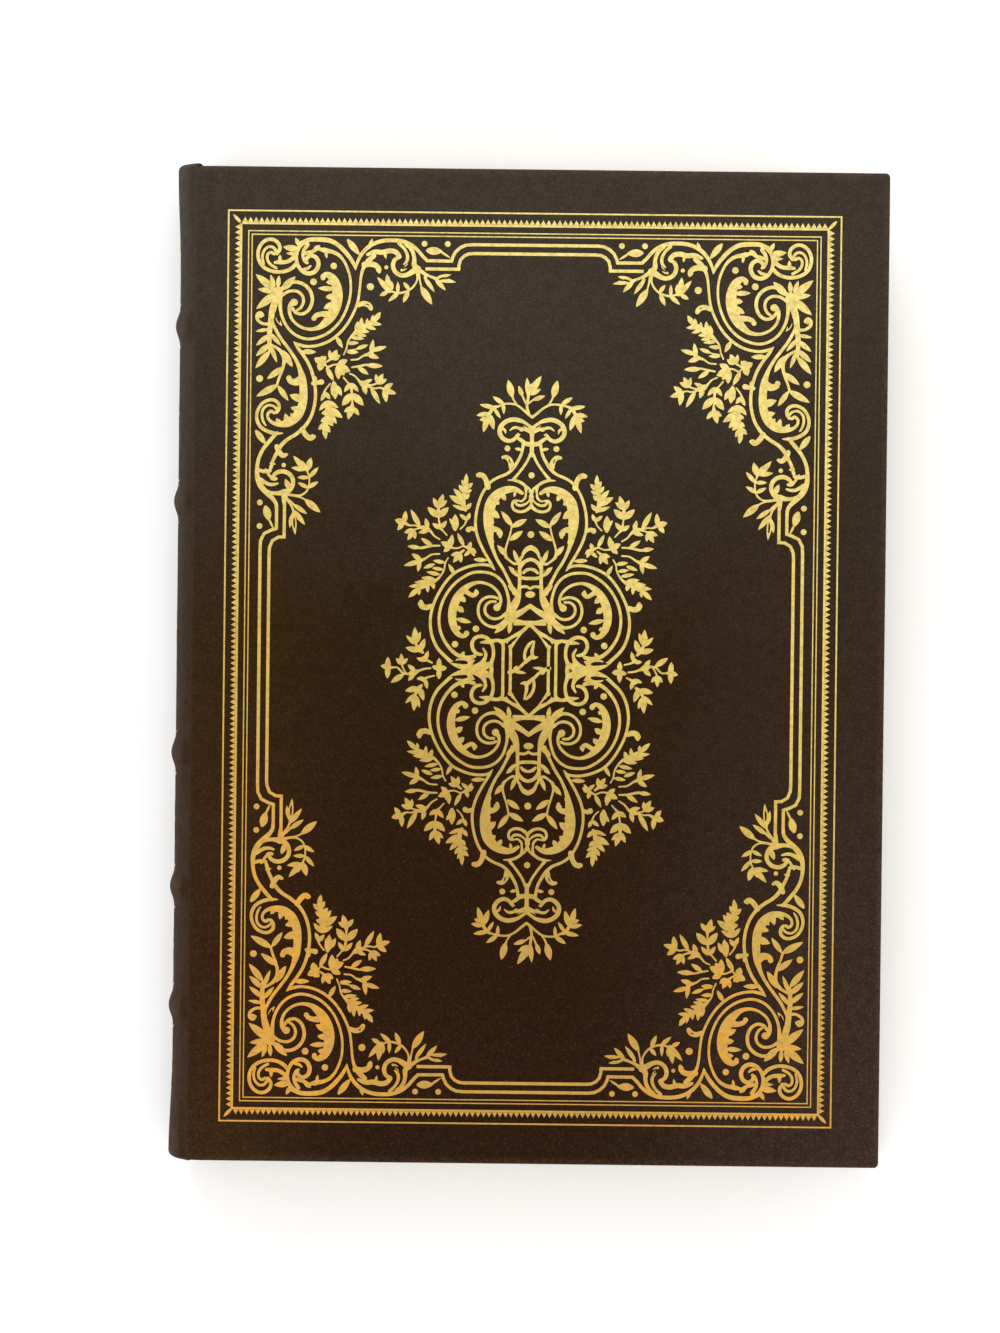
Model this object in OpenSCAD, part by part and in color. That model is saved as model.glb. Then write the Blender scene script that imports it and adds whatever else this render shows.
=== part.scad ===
// Antique leather book: a closed, leather-bound volume with a rounded, banded spine,
// gilt page edges and a gold-tooled cover. It lies on its back cover.
// Millimetres. +X to the fore edge, +Y to the head, +Z up, origin under the middle.
// The spine is at -X. Each cover turns on its leather joint.

/* [Covers] */
// Height of the covers, tail to head
cover_height = 254; // [220:1:300]
// Width over all, from the tops of the raised bands to the fore edge
cover_width = 182.6; // [160:0.2:210]
// Thickness over the two covers' leather
book_thickness = 38.6; // [30:0.2:60]
// Thickness of each cover board
board_thickness = 3; // [2:0.1:4]
// Thickness of the covering leather
leather_thickness = 1; // [0.6:0.1:1.4]
// Width of the leather turned in over the boards' inner edges
turn_in = 15; // [10:1:20]

/* [Pages] */
// How far the covers stand out beyond the pages
page_square = 4; // [2:0.5:6]
// Depth of the hollow in the fore edge
fore_edge_hollow = 5; // [2:0.5:8]
// Thickness of an endpaper
endpaper = 0.3; // [0.15:0.05:0.5]

/* [Spine] */
// How far the spine is rounded out beyond its edges
spine_round = 4.5; // [3:0.5:8]
// Width of the leather joint between spine and cover
joint_width = 4.8; // [4:0.2:7]
// Height of the raised bands above the spine leather
band_height = 1.1; // [0.6:0.1:2]
// Width of each raised band's core
band_width = 4.6; // [3:0.1:7]

/* [Gilding] */
// Distance of the gilt frame from the head of the cover
gilt_margin = 11.3; // [9:0.1:14]
// Thickness of the gold layer
foil = 0.08; // [0.05:0.01:0.15]
// Width of the gilt fillets
rule_width = 0.6; // [0.4:0.05:1]

/* [Display] */
// Sub-part to show

/* [Hidden] */

$fn = 48;

mid_z = book_thickness / 2;
fore_x = cover_width / 2;
half_h = cover_height / 2;

// Cover build-up, heights above the middle plane.
leather_top = mid_z;
board_top = leather_top - leather_thickness;
board_low = board_top - board_thickness;
turn_low = board_low - 0.5;
paste_low = turn_low - endpaper;
apex_x = band_height - fore_x;
hinge_x = apex_x + spine_round;
edge_x = hinge_x + joint_width;
board_in_x = edge_x + leather_thickness;
board_out_x = fore_x - leather_thickness;
board_half = half_h - leather_thickness;

// Pages.
fly_top = paste_low - 0.2;
block_half = fly_top - endpaper;
page_half = half_h - page_square;
page_fore_x = fore_x - page_square;

// The spine's layers are arcs about one axis that runs from tail to head.
spine_edge = mid_z - 2;
r_leather = (spine_edge * spine_edge + spine_round * spine_round) / (2 * spine_round);
spine_half = asin(spine_edge / r_leather);
spine_x = apex_x + r_leather;
inlay = 0.7;
hollow = 0.4;
lining = 0.4;
cloth = 0.3;
r_inlay = r_leather - leather_thickness;
r_inlay_in = r_inlay - inlay;
r_lining = r_inlay_in - hollow;
r_cloth = r_lining - lining;
r_block = r_cloth - cloth;
band_half = spine_half * 0.84;

// The pages flare into shoulders beside the spine.
block_edge_x = spine_x - r_block * cos(spine_half);
block_edge = r_block * sin(spine_half);
fly_x = block_edge_x + 3.6;

// Raised bands, distances from the middle towards the head.
band_y = [
    cover_height * 0.340,
    cover_height * 0.163,
    cover_height * -0.091,
    cover_height * -0.2265,
    cover_height * -0.347
];

// Leather joint between spine and cover.
joint_top = leather_top - 0.3;
joint_low = joint_top - leather_thickness;

// Gilt frame on a cover: half sizes of the outer fillet and its centre.
frame_fore = fore_x - gilt_margin - 1.05;
frame_joint = edge_x + 3.65;
frame_head = half_h - gilt_margin;
frame_tail = gilt_margin - 1 - half_h;
frame_x = (frame_fore - frame_joint) / 2;
frame_y = (frame_head - frame_tail) / 2;
frame_cx = (frame_fore + frame_joint) / 2;
frame_cy = (frame_head + frame_tail) / 2;
shift_x = frame_x - 78.1;
shift_y = frame_y - 116.2;

gold = [0.80, 0.62, 0.22];
hide = [0.22, 0.14, 0.09];

// Bodies of revolution about the spine's axis, from angle a0 to a1 measured from the
// middle of the spine: children are (radius, height) outlines.
module arc_between(a0, a1) {
    translate([spine_x, 0, mid_z])
        rotate([-90, 0, 0])
            rotate([0, 0, 180 + a0])
                rotate_extrude(angle = a1 - a0)
                    children();
}

module arc_of(half_angle) {
    arc_between(-half_angle, half_angle)
        children();
}

// An (x, height above the middle plane) outline drawn out from y0 to y1.
module along_y(y0, y1) {
    translate([0, y1, mid_z])
        rotate([90, 0, 0])
            linear_extrude(height = y1 - y0)
                children();
}

// A (y, height above the middle plane) outline drawn out from x0 to x1.
module along_x(x0, x1) {
    translate([x0, 0, mid_z])
        rotate([90, 0, 90])
            linear_extrude(height = x1 - x0)
                children();
}

module box(x0, x1, y0, y1, z0, z1) {
    translate([x0, y0, mid_z + z0])
        cube([x1 - x0, y1 - y0, z1 - z0]);
}

// Puts a front-cover piece on the back cover.
module to_back() {
    translate([0, 0, mid_z])
        mirror([0, 0, 1])
            translate([0, 0, -mid_z])
                children();
}

// An outline with rounded corners: radii at the upper right, upper left and below.
function soft_corner(x, y, r, a0) = [
    for (k = [0:4]) [x + r * cos(a0 + 22.5 * k), y + r * sin(a0 + 22.5 * k)]
];
function soft_box(x0, x1, z0, z1, r_right, r_left, r_low) = concat(
    soft_corner(x1 - r_right, z1 - r_right, r_right, 0),
    soft_corner(x0 + r_left, z1 - r_left, r_left, 90),
    soft_corner(x0 + r_low, z0 + r_low, r_low, 180),
    soft_corner(x1 - r_low, z0 + r_low, r_low, 270)
);

// Pages

module text_block() {
    color([0.86, 0.80, 0.66])
        along_y(-page_half, page_half)
            polygon(concat(
                [for (k = [-12:12]) [
                    spine_x - (r_block - 0.02) * cos(k * spine_half / 12),
                    (r_block - 0.02) * sin(k * spine_half / 12)
                ]],
                [shoulder(0.95, 0.67), shoulder(2.15, 0.26), shoulder(3.6, 0)],
                [for (k = [-8:8]) [
                    page_fore_x - fore_edge_hollow * (1 - k * k / 64),
                    -k * block_half / 8
                ]],
                [for (p = [shoulder(3.6, 0), shoulder(2.15, 0.26), shoulder(0.95, 0.67)]) [p[0], -p[1]]]
            ));
}

// A point on the shoulder: how far in from the spine's edge, and its share of the flare.
function shoulder(x, share) = [block_edge_x + x, block_half + (block_edge - block_half) * share];

module spine_cloth() {
    color([0.80, 0.78, 0.70])
        arc_of(spine_half - 0.6)
            translate([r_block, -page_half + 6])
                square([cloth, 2 * page_half - 12]);
}

module spine_lining() {
    color([0.72, 0.66, 0.54])
        arc_of(spine_half - 1.2)
            translate([r_cloth, -page_half + 1])
                square([lining, 2 * page_half - 2]);
}

module end_band() {
    arc_of(spine_half * 0.9)
        polygon([
            [r_block - 2.2, page_half], [r_block + 0.3, page_half], [r_block + 0.4, page_half + 1.6],
            [r_block - 0.3, page_half + 2.5], [r_block - 1.5, page_half + 2.5],
            [r_block - 2.2, page_half + 1.6]
        ]);
}

module head_band() {
    color([0.62, 0.22, 0.16])
        end_band();
}

module tail_band() {
    color([0.62, 0.22, 0.16])
        mirror([0, 1, 0])
            end_band();
}

module front_flyleaf() {
    color([0.93, 0.90, 0.82])
        box(fly_x, page_fore_x, -page_half, page_half, block_half, fly_top);
}

module back_flyleaf() {
    color([0.93, 0.90, 0.82])
        to_back()
            box(fly_x, page_fore_x, -page_half, page_half, block_half, fly_top);
}

// Spine

module spine_inlay() {
    color([0.55, 0.48, 0.36])
        arc_of(spine_half - 1.5)
            translate([r_inlay_in, -board_half])
                square([r_inlay - r_inlay_in, 2 * board_half]);
}

// Across a band: the core's outline, and the leather drawn over it.
function core_points(y) = [
    [r_inlay, y - band_width / 2],
    [r_inlay + band_height * 0.8, y - band_width * 0.36],
    [r_inlay + band_height, y - band_width * 0.15],
    [r_inlay + band_height, y + band_width * 0.15],
    [r_inlay + band_height * 0.8, y + band_width * 0.36],
    [r_inlay, y + band_width / 2]
];
function hump_points(y) = [
    [r_leather, y - band_width * 0.91],
    [r_leather + band_height * 0.25, y - band_width * 0.71],
    [r_leather + band_height * 0.85, y - band_width * 0.42],
    [r_leather + band_height, y - band_width * 0.18],
    [r_leather + band_height, y + band_width * 0.18],
    [r_leather + band_height * 0.85, y + band_width * 0.42],
    [r_leather + band_height * 0.25, y + band_width * 0.71],
    [r_leather, y + band_width * 0.91]
];

module raised_bands() {
    color([0.50, 0.40, 0.28])
        for (y = band_y)
            arc_of(band_half)
                polygon(core_points(y));
}

// Along the spine, tail to head: the leather's outline with its turned-in ends,
// as it is over the bands and as it is beside them.
r_turn = r_inlay_in - 0.3;
last = len(band_y) - 1;
turned_tail = [
    [r_inlay, -board_half], [r_inlay_in, -board_half], [r_inlay_in, 4 - half_h],
    [r_turn, 4 - half_h], [r_turn, 0.2 - half_h], [r_turn + 0.4, -0.2 - half_h],
    [r_leather - 0.5, -0.2 - half_h]
];
turned_head = [
    [r_leather - 0.5, half_h + 0.7], [r_turn + 0.4, half_h + 0.7], [r_turn, half_h + 0.3],
    [r_turn, half_h - 4], [r_inlay_in, half_h - 4], [r_inlay_in, board_half],
    [r_inlay, board_half]
];
banded_outline = concat(
    [for (y = band_y, k = [5:-1:0]) core_points(y)[k]],
    turned_tail,
    [[r_leather + 0.3, -half_h], [r_leather + 0.8, 0.8 - half_h],
     [r_leather + 0.7, 3 - half_h], [r_leather, 26 - half_h]],
    [for (i = [last:-1:0], k = [0:7]) hump_points(band_y[i])[k]],
    [[r_leather, half_h - 26], [r_leather + 0.7, half_h - 3],
     [r_leather + 0.8, half_h - 0.4], [r_leather + 0.3, half_h + 0.5]],
    turned_head
);
plain_outline = concat(
    turned_tail,
    [[r_leather, 0.4 - half_h], [r_leather, half_h]],
    turned_head
);

module spine_leather() {
    color(hide) {
        arc_of(band_half)
            polygon(banded_outline);
        arc_between(band_half, spine_half)
            polygon(plain_outline);
        arc_between(-spine_half, -band_half)
            polygon(plain_outline);
    }
}

// A gold fillet either side of every band, and one by the head and tail.
module spine_gilt_fillets() {
    color(gold)
        for (y = concat(
            [for (b = band_y) b - 5.4],
            [for (b = band_y) b + 5.4]
        ))
            arc_of(band_half)
                translate([r_leather, y - rule_width / 2])
                    square([foil, rule_width]);
}

// Covers, drawn as the front one

module board() {
    box(board_in_x, board_out_x, -board_half, board_half, board_low, board_top);
}

// Leather over the outer face, down the joint edge, and turned in round three edges.
module cover_leather() {
    difference() {
        intersection() {
            along_y(-half_h, half_h)
                polygon(soft_box(edge_x, fore_x, turn_low, leather_top, 1.1, 0.3, 0.6));
            along_x(edge_x - 1, fore_x + 1)
                polygon(soft_box(-half_h, half_h, turn_low, leather_top, 1.1, 1.1, 0.6));
        }
        board();
        box(edge_x - 1, board_out_x - turn_in, turn_in - board_half,
            board_half - turn_in, turn_low - 1, board_low);
        box(edge_x - 1, board_in_x, -half_h - 1, half_h + 1, turn_low - 1, joint_low);
        box(edge_x - 1, edge_x + 6, -half_h - 1, half_h + 1, turn_low - 1, board_low);
    }
}

// Endpaper glued to the board's inner face, over the turned-in leather.
module pastedown() {
    win_x = board_out_x - turn_in;
    win_y = board_half - turn_in;
    difference() {
        box(board_in_x + 0.8, board_out_x - 3, 4 - board_half, board_half - 4, paste_low, board_low);
        difference() {
            box(board_in_x, fore_x, -half_h, half_h, turn_low, board_low + 1);
            box(board_in_x - 1, edge_x + 6, -half_h - 1, half_h + 1, turn_low - 1, board_low + 2);
            box(board_in_x - 1, win_x, -win_y, win_y, turn_low - 1, board_low + 2);
        }
        box(board_in_x - 1, win_x - endpaper, endpaper - win_y, win_y - endpaper,
            paste_low - 1, board_low - endpaper);
    }
}

// The leather joint: it folds as the cover opens.
module joint_leather() {
    along_y(-half_h, half_h)
        polygon([
            [spine_x - r_inlay * cos(spine_half), r_inlay * sin(spine_half)],
            [hinge_x, spine_edge],
            [hinge_x + 0.6, spine_edge + 0.8],
            [hinge_x + 1.5, joint_top - 0.3],
            [hinge_x + 2.8, joint_top],
            [edge_x, joint_top],
            [edge_x, joint_low],
            [hinge_x + 2.8, joint_low],
            [hinge_x + 1.9, joint_low - 0.5]
        ]);
}

module front_board() {
    color([0.52, 0.44, 0.33])
        board();
}

module front_leather() {
    color(hide)
        cover_leather();
}

module front_pastedown() {
    color([0.93, 0.90, 0.82])
        pastedown();
}

module front_joint_leather() {
    color(hide)
        joint_leather();
}

module back_board() {
    color([0.52, 0.44, 0.33])
        to_back()
            board();
}

module back_leather() {
    color(hide)
        difference() {
            to_back()
                cover_leather();
            translate([frame_cx, frame_cy, -1])
                linear_extrude(height = 1.15)
                    back_frame_outline();
        }
}

module back_pastedown() {
    color([0.93, 0.90, 0.82])
        to_back()
            pastedown();
}

module back_joint_leather() {
    color(hide)
        to_back()
            joint_leather();
}

// Gilding

// The sides of a stroke: one point left and right of each [x, y, width].
function dir_at(p, i) =
    let (a = p[max(i - 1, 0)], b = p[min(i + 1, len(p) - 1)], d = [b[0] - a[0], b[1] - a[1]])
    d / norm(d);
function side_at(p, i, s) =
    let (d = dir_at(p, i))
    [p[i][0] - s * d[1] * p[i][2] / 2, p[i][1] + s * d[0] * p[i][2] / 2];

module stroke(p) {
    polygon(concat(
        [for (i = [0:len(p) - 1]) side_at(p, i, 1)],
        [for (i = [len(p) - 1:-1:0]) side_at(p, i, -1)]
    ));
}

// A pointed leaf from stalk to tip: [x, y, tip x, tip y, width].
module leaf(l) {
    dx = l[2] - l[0];
    dy = l[3] - l[1];
    n = norm([dx, dy]);
    polygon([
        [l[0], l[1]],
        [l[0] + dx * 0.45 - dy / n * l[4] / 2, l[1] + dy * 0.45 + dx / n * l[4] / 2],
        [l[2], l[3]],
        [l[0] + dx * 0.45 + dy / n * l[4] / 2, l[1] + dy * 0.45 - dx / n * l[4] / 2]
    ]);
}

module dots(list, r) {
    for (d = list)
        translate(d)
            circle(r = r, $fn = 6);
}

module fillet_at(inset, w) {
    difference() {
        square([2 * (frame_x - inset) + w, 2 * (frame_y - inset) + w], center = true);
        square([2 * (frame_x - inset) - w, 2 * (frame_y - inset) - w], center = true);
    }
}

module four_ways() {
    for (sx = [1, -1], sy = [1, -1])
        scale_flip(sx, sy)
            children();
}

module scale_flip(sx, sy) {
    mirror([sx < 0 ? 1 : 0, 0])
        mirror([0, sy < 0 ? 1 : 0])
            children();
}

module half_turn() {
    children();
    rotate([0, 0, 180])
        children();
}

// Two straps that run along the frame and step inwards beside each corner piece.
strap_outer = [
    [[-69.2, -30, 0.9], [-69.2, 30.2, 0.9], [-68.4, 33.1, 0.9], [-65.1, 35.0, 0.9]],
    [[-65.1, 34.6, 0.9], [-65.1, 41.5, 0.9]],
    [[30, 108.1, 0.9], [-17.0, 108.1, 0.9], [-19.8, 107.0, 0.9], [-21.1, 103.6, 0.9]],
    [[-20.8, 103.8, 0.9], [-28, 103.8, 0.9]]
];
strap_inner = [
    [[-66.9, -30, 0.9], [-66.9, 29.4, 0.9], [-66.0, 32.1, 0.9], [-62.7, 33.2, 0.9]],
    [[-63.1, 32.9, 0.9], [-63.1, 43, 0.9]],
    [[30, 105.8, 0.9], [-15.4, 105.8, 0.9], [-18.2, 104.9, 0.9], [-19.3, 101.5, 0.9]],
    [[-19.0, 101.8, 0.9], [-29, 101.8, 0.9]]
];

module strap_quarter() {
    translate([-shift_x, shift_y])
        for (s = concat(strap_outer, strap_inner))
            stroke(s);
}

module front_frame_outline() {
    fillet_at(0, rule_width);
    fillet_at(2.9, 1.1);
    fillet_at(5.15, 0.5);
    fillet_at(6.0, 0.5);
    offset(delta = 0.005)
        four_ways()
            strap_quarter();
}

// The back cover is plainer: fillets and one strap that steps at the corners.
back_strap = [
    [[-66.9, -30, 0.9], [-66.9, 93.4, 0.9], [-65.7, 95.9, 0.9], [-63.4, 97.0, 0.9],
     [-60.1, 97.0, 0.9]],
    [[-60.5, 96.6, 0.9], [-60.5, 99.4, 0.9], [-59.4, 102.1, 0.9], [-57.0, 103.3, 0.9],
     [30, 103.3, 0.9]]
];

module back_frame_outline() {
    fillet_at(0, rule_width);
    fillet_at(5.15, 0.5);
    offset(delta = 0.005)
        four_ways()
            translate([-shift_x, shift_y])
                for (s = back_strap)
                    stroke(s);
}

// One corner piece, for the head and spine corner.
corner_strokes = [
    [[-65.6, 105.2, 1.1], [-65.2, 107.6, 1.1], [-67.4, 108.9, 1.1], [-70.0, 107.2, 1.1],
     [-70.2, 103.6, 1.1], [-67.6, 101.0, 1.1], [-63.4, 100.9, 1.1], [-60.9, 102.6, 1.2]],
    [[-59.0, 108.0, 1.2], [-60.7, 105.0, 1.2], [-59.8, 101.6, 1.2], [-57.4, 100.3, 1.2],
     [-55.2, 101.8, 1.2], [-55.8, 104.5, 1.2], [-58.2, 104.2, 1.2]],
    [[-59.6, 108.1, 1.2], [-55.5, 109.0, 1.5], [-51.2, 108.4, 1.5], [-48.0, 105.6, 1.3],
     [-45.6, 101.4, 0.5]],
    [[-57.0, 105.8, 1.2], [-53.4, 106.3, 1.6], [-49.8, 104.9, 1.0], [-47.5, 101.2, 0.8],
     [-46.8, 96.0, 0.8], [-49.0, 88.8, 0.8], [-53.8, 84.3, 0.8], [-58.4, 83.7, 0.8],
     [-62.8, 86.4, 0.9], [-64.9, 95.4, 1.8]],
    [[-64.6, 96.2, 1.0], [-61.4, 98.1, 1.0], [-58.0, 96.9, 1.0], [-56.6, 93.3, 1.0],
     [-58.2, 90.3, 1.0], [-61.2, 90.8, 1.0]],
    [[-61.3, 93.3, 2.0], [-62.3, 90.6, 1.1], [-60.6, 87.4, 0.9], [-57.2, 86.1, 1.1],
     [-53.8, 87.3, 2.2], [-51.2, 90.7, 3.2], [-50.2, 94.8, 3.2], [-51.1, 98.4, 2.5],
     [-53.4, 100.0, 1.6], [-54.4, 99.2, 1.4]],
    [[-45.6, 101.4, 0.5], [-44.6, 104.8, 1.0], [-41.8, 107.7, 1.2], [-37.6, 109.0, 1.2],
     [-33.2, 108.5, 1.2], [-29.9, 106.6, 1.1], [-27.4, 103.9, 1.0]],
    [[-40.6, 105.2, 1.4], [-43.6, 101.9, 1.1], [-44.6, 95.4, 0.8], [-47.2, 88.0, 0.8],
     [-52.0, 83.2, 0.8], [-57.0, 81.7, 0.8], [-61.0, 82.7, 0.5]],
    [[-41.0, 105.8, 1.2], [-37.0, 106.2, 1.6], [-34.8, 104.4, 1.2],
     [-35.0, 100.9, 1.2], [-29.8, 101.8, 2.0]],
    [[-65.3, 95.6, 3.0], [-66.6, 91.2, 2.0], [-67.2, 87.0, 1.6], [-67.4, 80.4, 1.2]],
    [[-67.0, 82.0, 0.9], [-63.6, 77.8, 1.2], [-65.4, 71.4, 0.8]],
    [[-66.6, 90.3, 1.4], [-66.2, 86.6, 1.0], [-63.6, 82.4, 1.0], [-60.8, 78.4, 1.1],
     [-58.6, 71.0, 2.3], [-59.0, 66.2, 2.5], [-61.4, 62.8, 2.6],
     [-64.3, 61.8, 1.6], [-67.3, 63.0, 0.9]],
    [[-61.2, 82.9, 0.5], [-58.6, 79.3, 0.9], [-56.4, 75.0, 0.9], [-55.5, 70.0, 0.9],
     [-56.1, 65.2, 0.9], [-58.5, 60.9, 1.0], [-62.6, 57.9, 1.1], [-65.3, 54.3, 1.1],
     [-66.7, 50.2, 1.1]],
    [[-65.2, 65.0, 1.0], [-64.9, 67.2, 1.0], [-67.2, 68.2, 1.0], [-70.0, 66.0, 1.0],
     [-70.1, 62.2, 1.0], [-67.6, 60.0, 1.0], [-63.8, 59.5, 0.5]],
    [[-65.2, 59.6, 1.0], [-68.3, 56.0, 1.1], [-70.0, 52.4, 1.1], [-69.9, 47.8, 1.5],
     [-67.4, 44.1, 1.4], [-65.1, 40.8, 1.0]],
    [[-66.4, 47.6, 1.0], [-64.8, 49.8, 1.2], [-61.8, 49.0, 1.2], [-61.1, 46.2, 1.2],
     [-63.1, 41.2, 1.0]]
];
corner_leaves = [
    [-60.0, 106.4, -64.2, 107.0, 1.9], [-47.8, 109.1, -44.6, 105.1, 1.9],
    [-66.2, 96.0, -71.1, 100.0, 2.2], [-64.4, 96.0, -60.9, 99.5, 2.1],
    [-65.6, 95.4, -70.9, 91.1, 2.3], [-67.3, 80.6, -70.9, 76.0, 1.9],
    [-63.9, 76.3, -67.9, 73.3, 1.8], [-65.2, 71.8, -70.6, 68.8, 2.0],
    [-65.3, 71.8, -62.4, 67.8, 1.6], [-58.9, 73.2, -62.8, 73.2, 2.0],
    [-67.9, 41.0, -66.6, 36.4, 2.2],
    [-29.8, 101.8, -20.2, 98.5, 1.9],
    [-29.7, 101.4, -26.0, 92.7, 2.0], [-32.8, 96.6, -37.2, 93.4, 1.5],
    [-34.0, 95.8, -37.8, 100.2, 2.2], [-62.8, 44.4, -54.0, 39.4, 2.2],
    [-62.8, 44.2, -60.3, 33.8, 2.2], [-57.4, 50.2, -61.0, 53.6, 2.2]
];
fan_leaves = [
    [-48.4, 79.8, -39.2, 90.4, 2.6], [-46.5, 78.4, -37.7, 81.8, 1.6],
    [-46.3, 76.5, -38.5, 76.9, 1.6], [-46.8, 74.9, -41.2, 71.6, 2.2],
    [-41.6, 71.4, -35.2, 70.2, 2.2], [-46.3, 72.0, -48.7, 66.7, 2.0],
    [-46.3, 72.0, -43.2, 66.8, 2.0], [-46.1, 67.6, -46.3, 63.4, 2.2],
    [-52.4, 67.9, -48.7, 63.6, 2.4], [-52.4, 67.9, -52.8, 58.2, 2.8],
    [-50.7, 72.9, -50.4, 68.3, 2.2]
];
corner_dots = [[-51.2, 102.3], [-41.8, 97.1]];

// One quarter of the centrepiece.
centre_strokes = [
    [[-0.1, 61.2, 2.0], [-2.8, 63.4, 1.5], [-6.6, 63.4, 1.4], [-8.4, 60.8, 1.4],
     [-6.2, 58.4, 1.3], [-3.8, 59.6, 1.2]],
    [[0, 61.8, 1.6], [0, 54.8, 1.4]],
    [[-3.4, 59.2, 1.2], [-0.2, 57.8, 1.6]],
    [[-2.2, 58.2, 1.3], [-2.8, 55.0, 1.0], [-4.8, 51.4, 1.0], [-9.6, 48.4, 0.9],
     [-13.4, 43.0, 0.9], [-14.0, 35.8, 0.9], [-12.2, 30.8, 0.9], [-9.2, 25.8, 0.5]],
    [[-0.3, 55.4, 0.9], [-2.3, 51.6, 0.9], [-4.6, 48.6, 1.0]],
    [[-6.0, 48.4, 0.4], [-2.8, 48.0, 1.0], [-0.4, 45.8, 1.2], [0, 42.2, 1.2]],
    [[-3.3, 43.2, 0.8], [-4.8, 42.2, 1.0], [-3.4, 40.4, 1.0], [0, 41.8, 1.2]],
    [[-2.0, 45.2, 1.2], [-5.4, 46.2, 1.7], [-9.0, 44.6, 2.3], [-11.0, 40.8, 2.8],
     [-11.0, 36.0, 2.4], [-9.8, 31.0, 1.1], [-7.0, 25.6, 1.0], [-4.2, 20.2, 1.4]],
    [[-2.8, 27.2, 1.0], [-6.2, 29.0, 1.0], [-5.0, 36.8, 0.7]],
    [[-2.6, 28.6, 0.9], [-2.8, 22.2, 1.1], [-3.2, 18.6, 1.8], [-5.4, 14.2, 2.4]],
    [[0, 31.4, 1.5], [-2.2, 29.2, 1.1]],
    [[0, 27.4, 1.0], [-2.4, 26.2, 1.1]],
    [[0, 23.0, 1.0], [-2.6, 22.8, 1.0]],
    [[-8.4, 16.1, 2.0], [-7.6, 18.0, 1.0], [-9.4, 21.1, 0.9], [-13.6, 22.2, 1.1],
     [-17.4, 20.0, 2.2], [-19.6, 15.5, 2.7], [-19.6, 11.4, 2.3], [-17.4, 8.6, 1.5],
     [-15.8, 9.2, 1.5]],
    [[-16.4, 20.0, 1.6], [-13.8, 19.2, 1.5]],
    [[-8.2, 18.2, 0.9], [-11.0, 18.5, 0.9], [-13.1, 16.1, 0.9], [-12.4, 12.5, 0.9],
     [-9.0, 10.9, 1.1], [-6.0, 12.4, 1.8]],
    [[-5.4, 15.0, 1.4], [-6.4, 21.2, 0.9], [-11.0, 24.9, 0.9],
     [-17.0, 23.6, 0.9], [-21.6, 18.9, 0.9], [-23.2, 12.8, 0.9], [-21.4, 6.8, 1.0],
     [-14.4, 3.2, 1.3]],
    [[-9.0, 25.4, 0.4], [-12.8, 26.8, 0.9], [-18.4, 25.1, 0.9],
     [-23.4, 19.6, 0.9], [-25.4, 12.0, 0.9], [-23.4, 5.3, 1.0], [-18.6, 1.2, 1.3],
     [-10.4, 0.2, 1.8]],
    [[-12.0, 3.8, 1.0], [-14.6, 5.6, 1.1], [-12.6, 8.3, 1.1],
     [-9.2, 5.2, 1.1], [-9.6, 0, 1.3]],
    [[-9.5, 7.3, 1.2], [-5.2, 7.7, 1.3], [0, 11.5, 1.2]],
    [[-6.8, 7.2, 1.0], [-6.8, 0, 0.9]],
    [[-4.9, 0, 0.9], [-4.9, 5.4, 0.9], [-0.9, 10.8, 1.0]],
    [[0, 16.4, 1.3], [-2.6, 14.6, 1.9], [-5.2, 12.8, 2.4]]
];
centre_leaves = [
    [-10.6, 40.8, -8.0, 38.7, 2.3], [-4.8, 36.8, -7.6, 40.5, 1.8],
    [-4.8, 36.5, -1.0, 38.5, 1.9], 
    [-11.1, 46.8, -13.6, 50.0, 1.8],
    [-17.2, 40.6, -16.6, 50.0, 3.0], [-17.2, 41.4, -20.8, 44.3, 2.0],
    [-19.4, 35.3, -19.4, 39.6, 2.4], [-23.6, 36.2, -26.4, 41.3, 2.0],
    [-23.6, 36.2, -21.0, 41.3, 2.0], [-23.6, 40.4, -23.4, 44.6, 2.6],
    [-23.8, 33.6, -30.7, 40.7, 1.8], 
    [-23.8, 31.4, -31.4, 31.3, 1.5], [-23.8, 29.4, -32.3, 26.3, 1.8],
    [-22.4, 24.8, -31.0, 19.6, 3.0]
];
centre_dots = [[-6.2, 56.5]];

// Drawn once and turned half a turn: the top spray, the side spray and the panel's leaf.
turned_strokes = [
    [[0, 64.5, 0.9], [-4.0, 67.6, 0.8], [-9.4, 67.0, 0.9]],
    [[0, 64.5, 0.9], [4.6, 67.7, 0.8], [9.8, 67.0, 0.9]],
    [[-25.2, 0.2, 0.7], [-29.6, -1.0, 1.8], [-36.0, 0.2, 1.2]],
    [[-5.0, -0.6, 1.3], [-1.3, 1.8, 1.0], [0.8, 3.6, 1.3], [1.2, 7.4, 0.6]]
];
turned_leaves = [
    [-4.6, 67.6, -6.2, 74.0, 2.2], [4.8, 67.6, 6.4, 74.0, 2.2],
    [-1.0, 65.4, -1.0, 74.6, 1.9], [-0.8, 70.2, 2.3, 75.1, 2.2],
    [-10.0, 66.8, -12.2, 60.6, 2.6], [10.2, 66.8, 12.4, 60.6, 2.6],
    [-9.2, 66.8, -13.4, 67.6, 1.6], [9.6, 66.8, 13.6, 67.4, 1.6],
    [-23.0, -2.6, -23.0, 2.9, 2.2], [-28.0, 4.4, -26.7, 7.8, 1.9],
    [-28.0, 4.4, -31.6, 5.4, 1.9], [-28.8, 5.0, -29.3, 10.7, 2.2],
    [-28.0, -4.6, -26.8, -8.1, 1.9], [-28.0, -4.6, -31.6, -5.7, 1.9],
    [-28.8, -5.2, -29.3, -10.8, 2.2], [-36.1, -2.6, -36.1, 3.0, 2.2],
    [-32.0, -0.4, -32.7, 3.9, 2.2]
];

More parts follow.
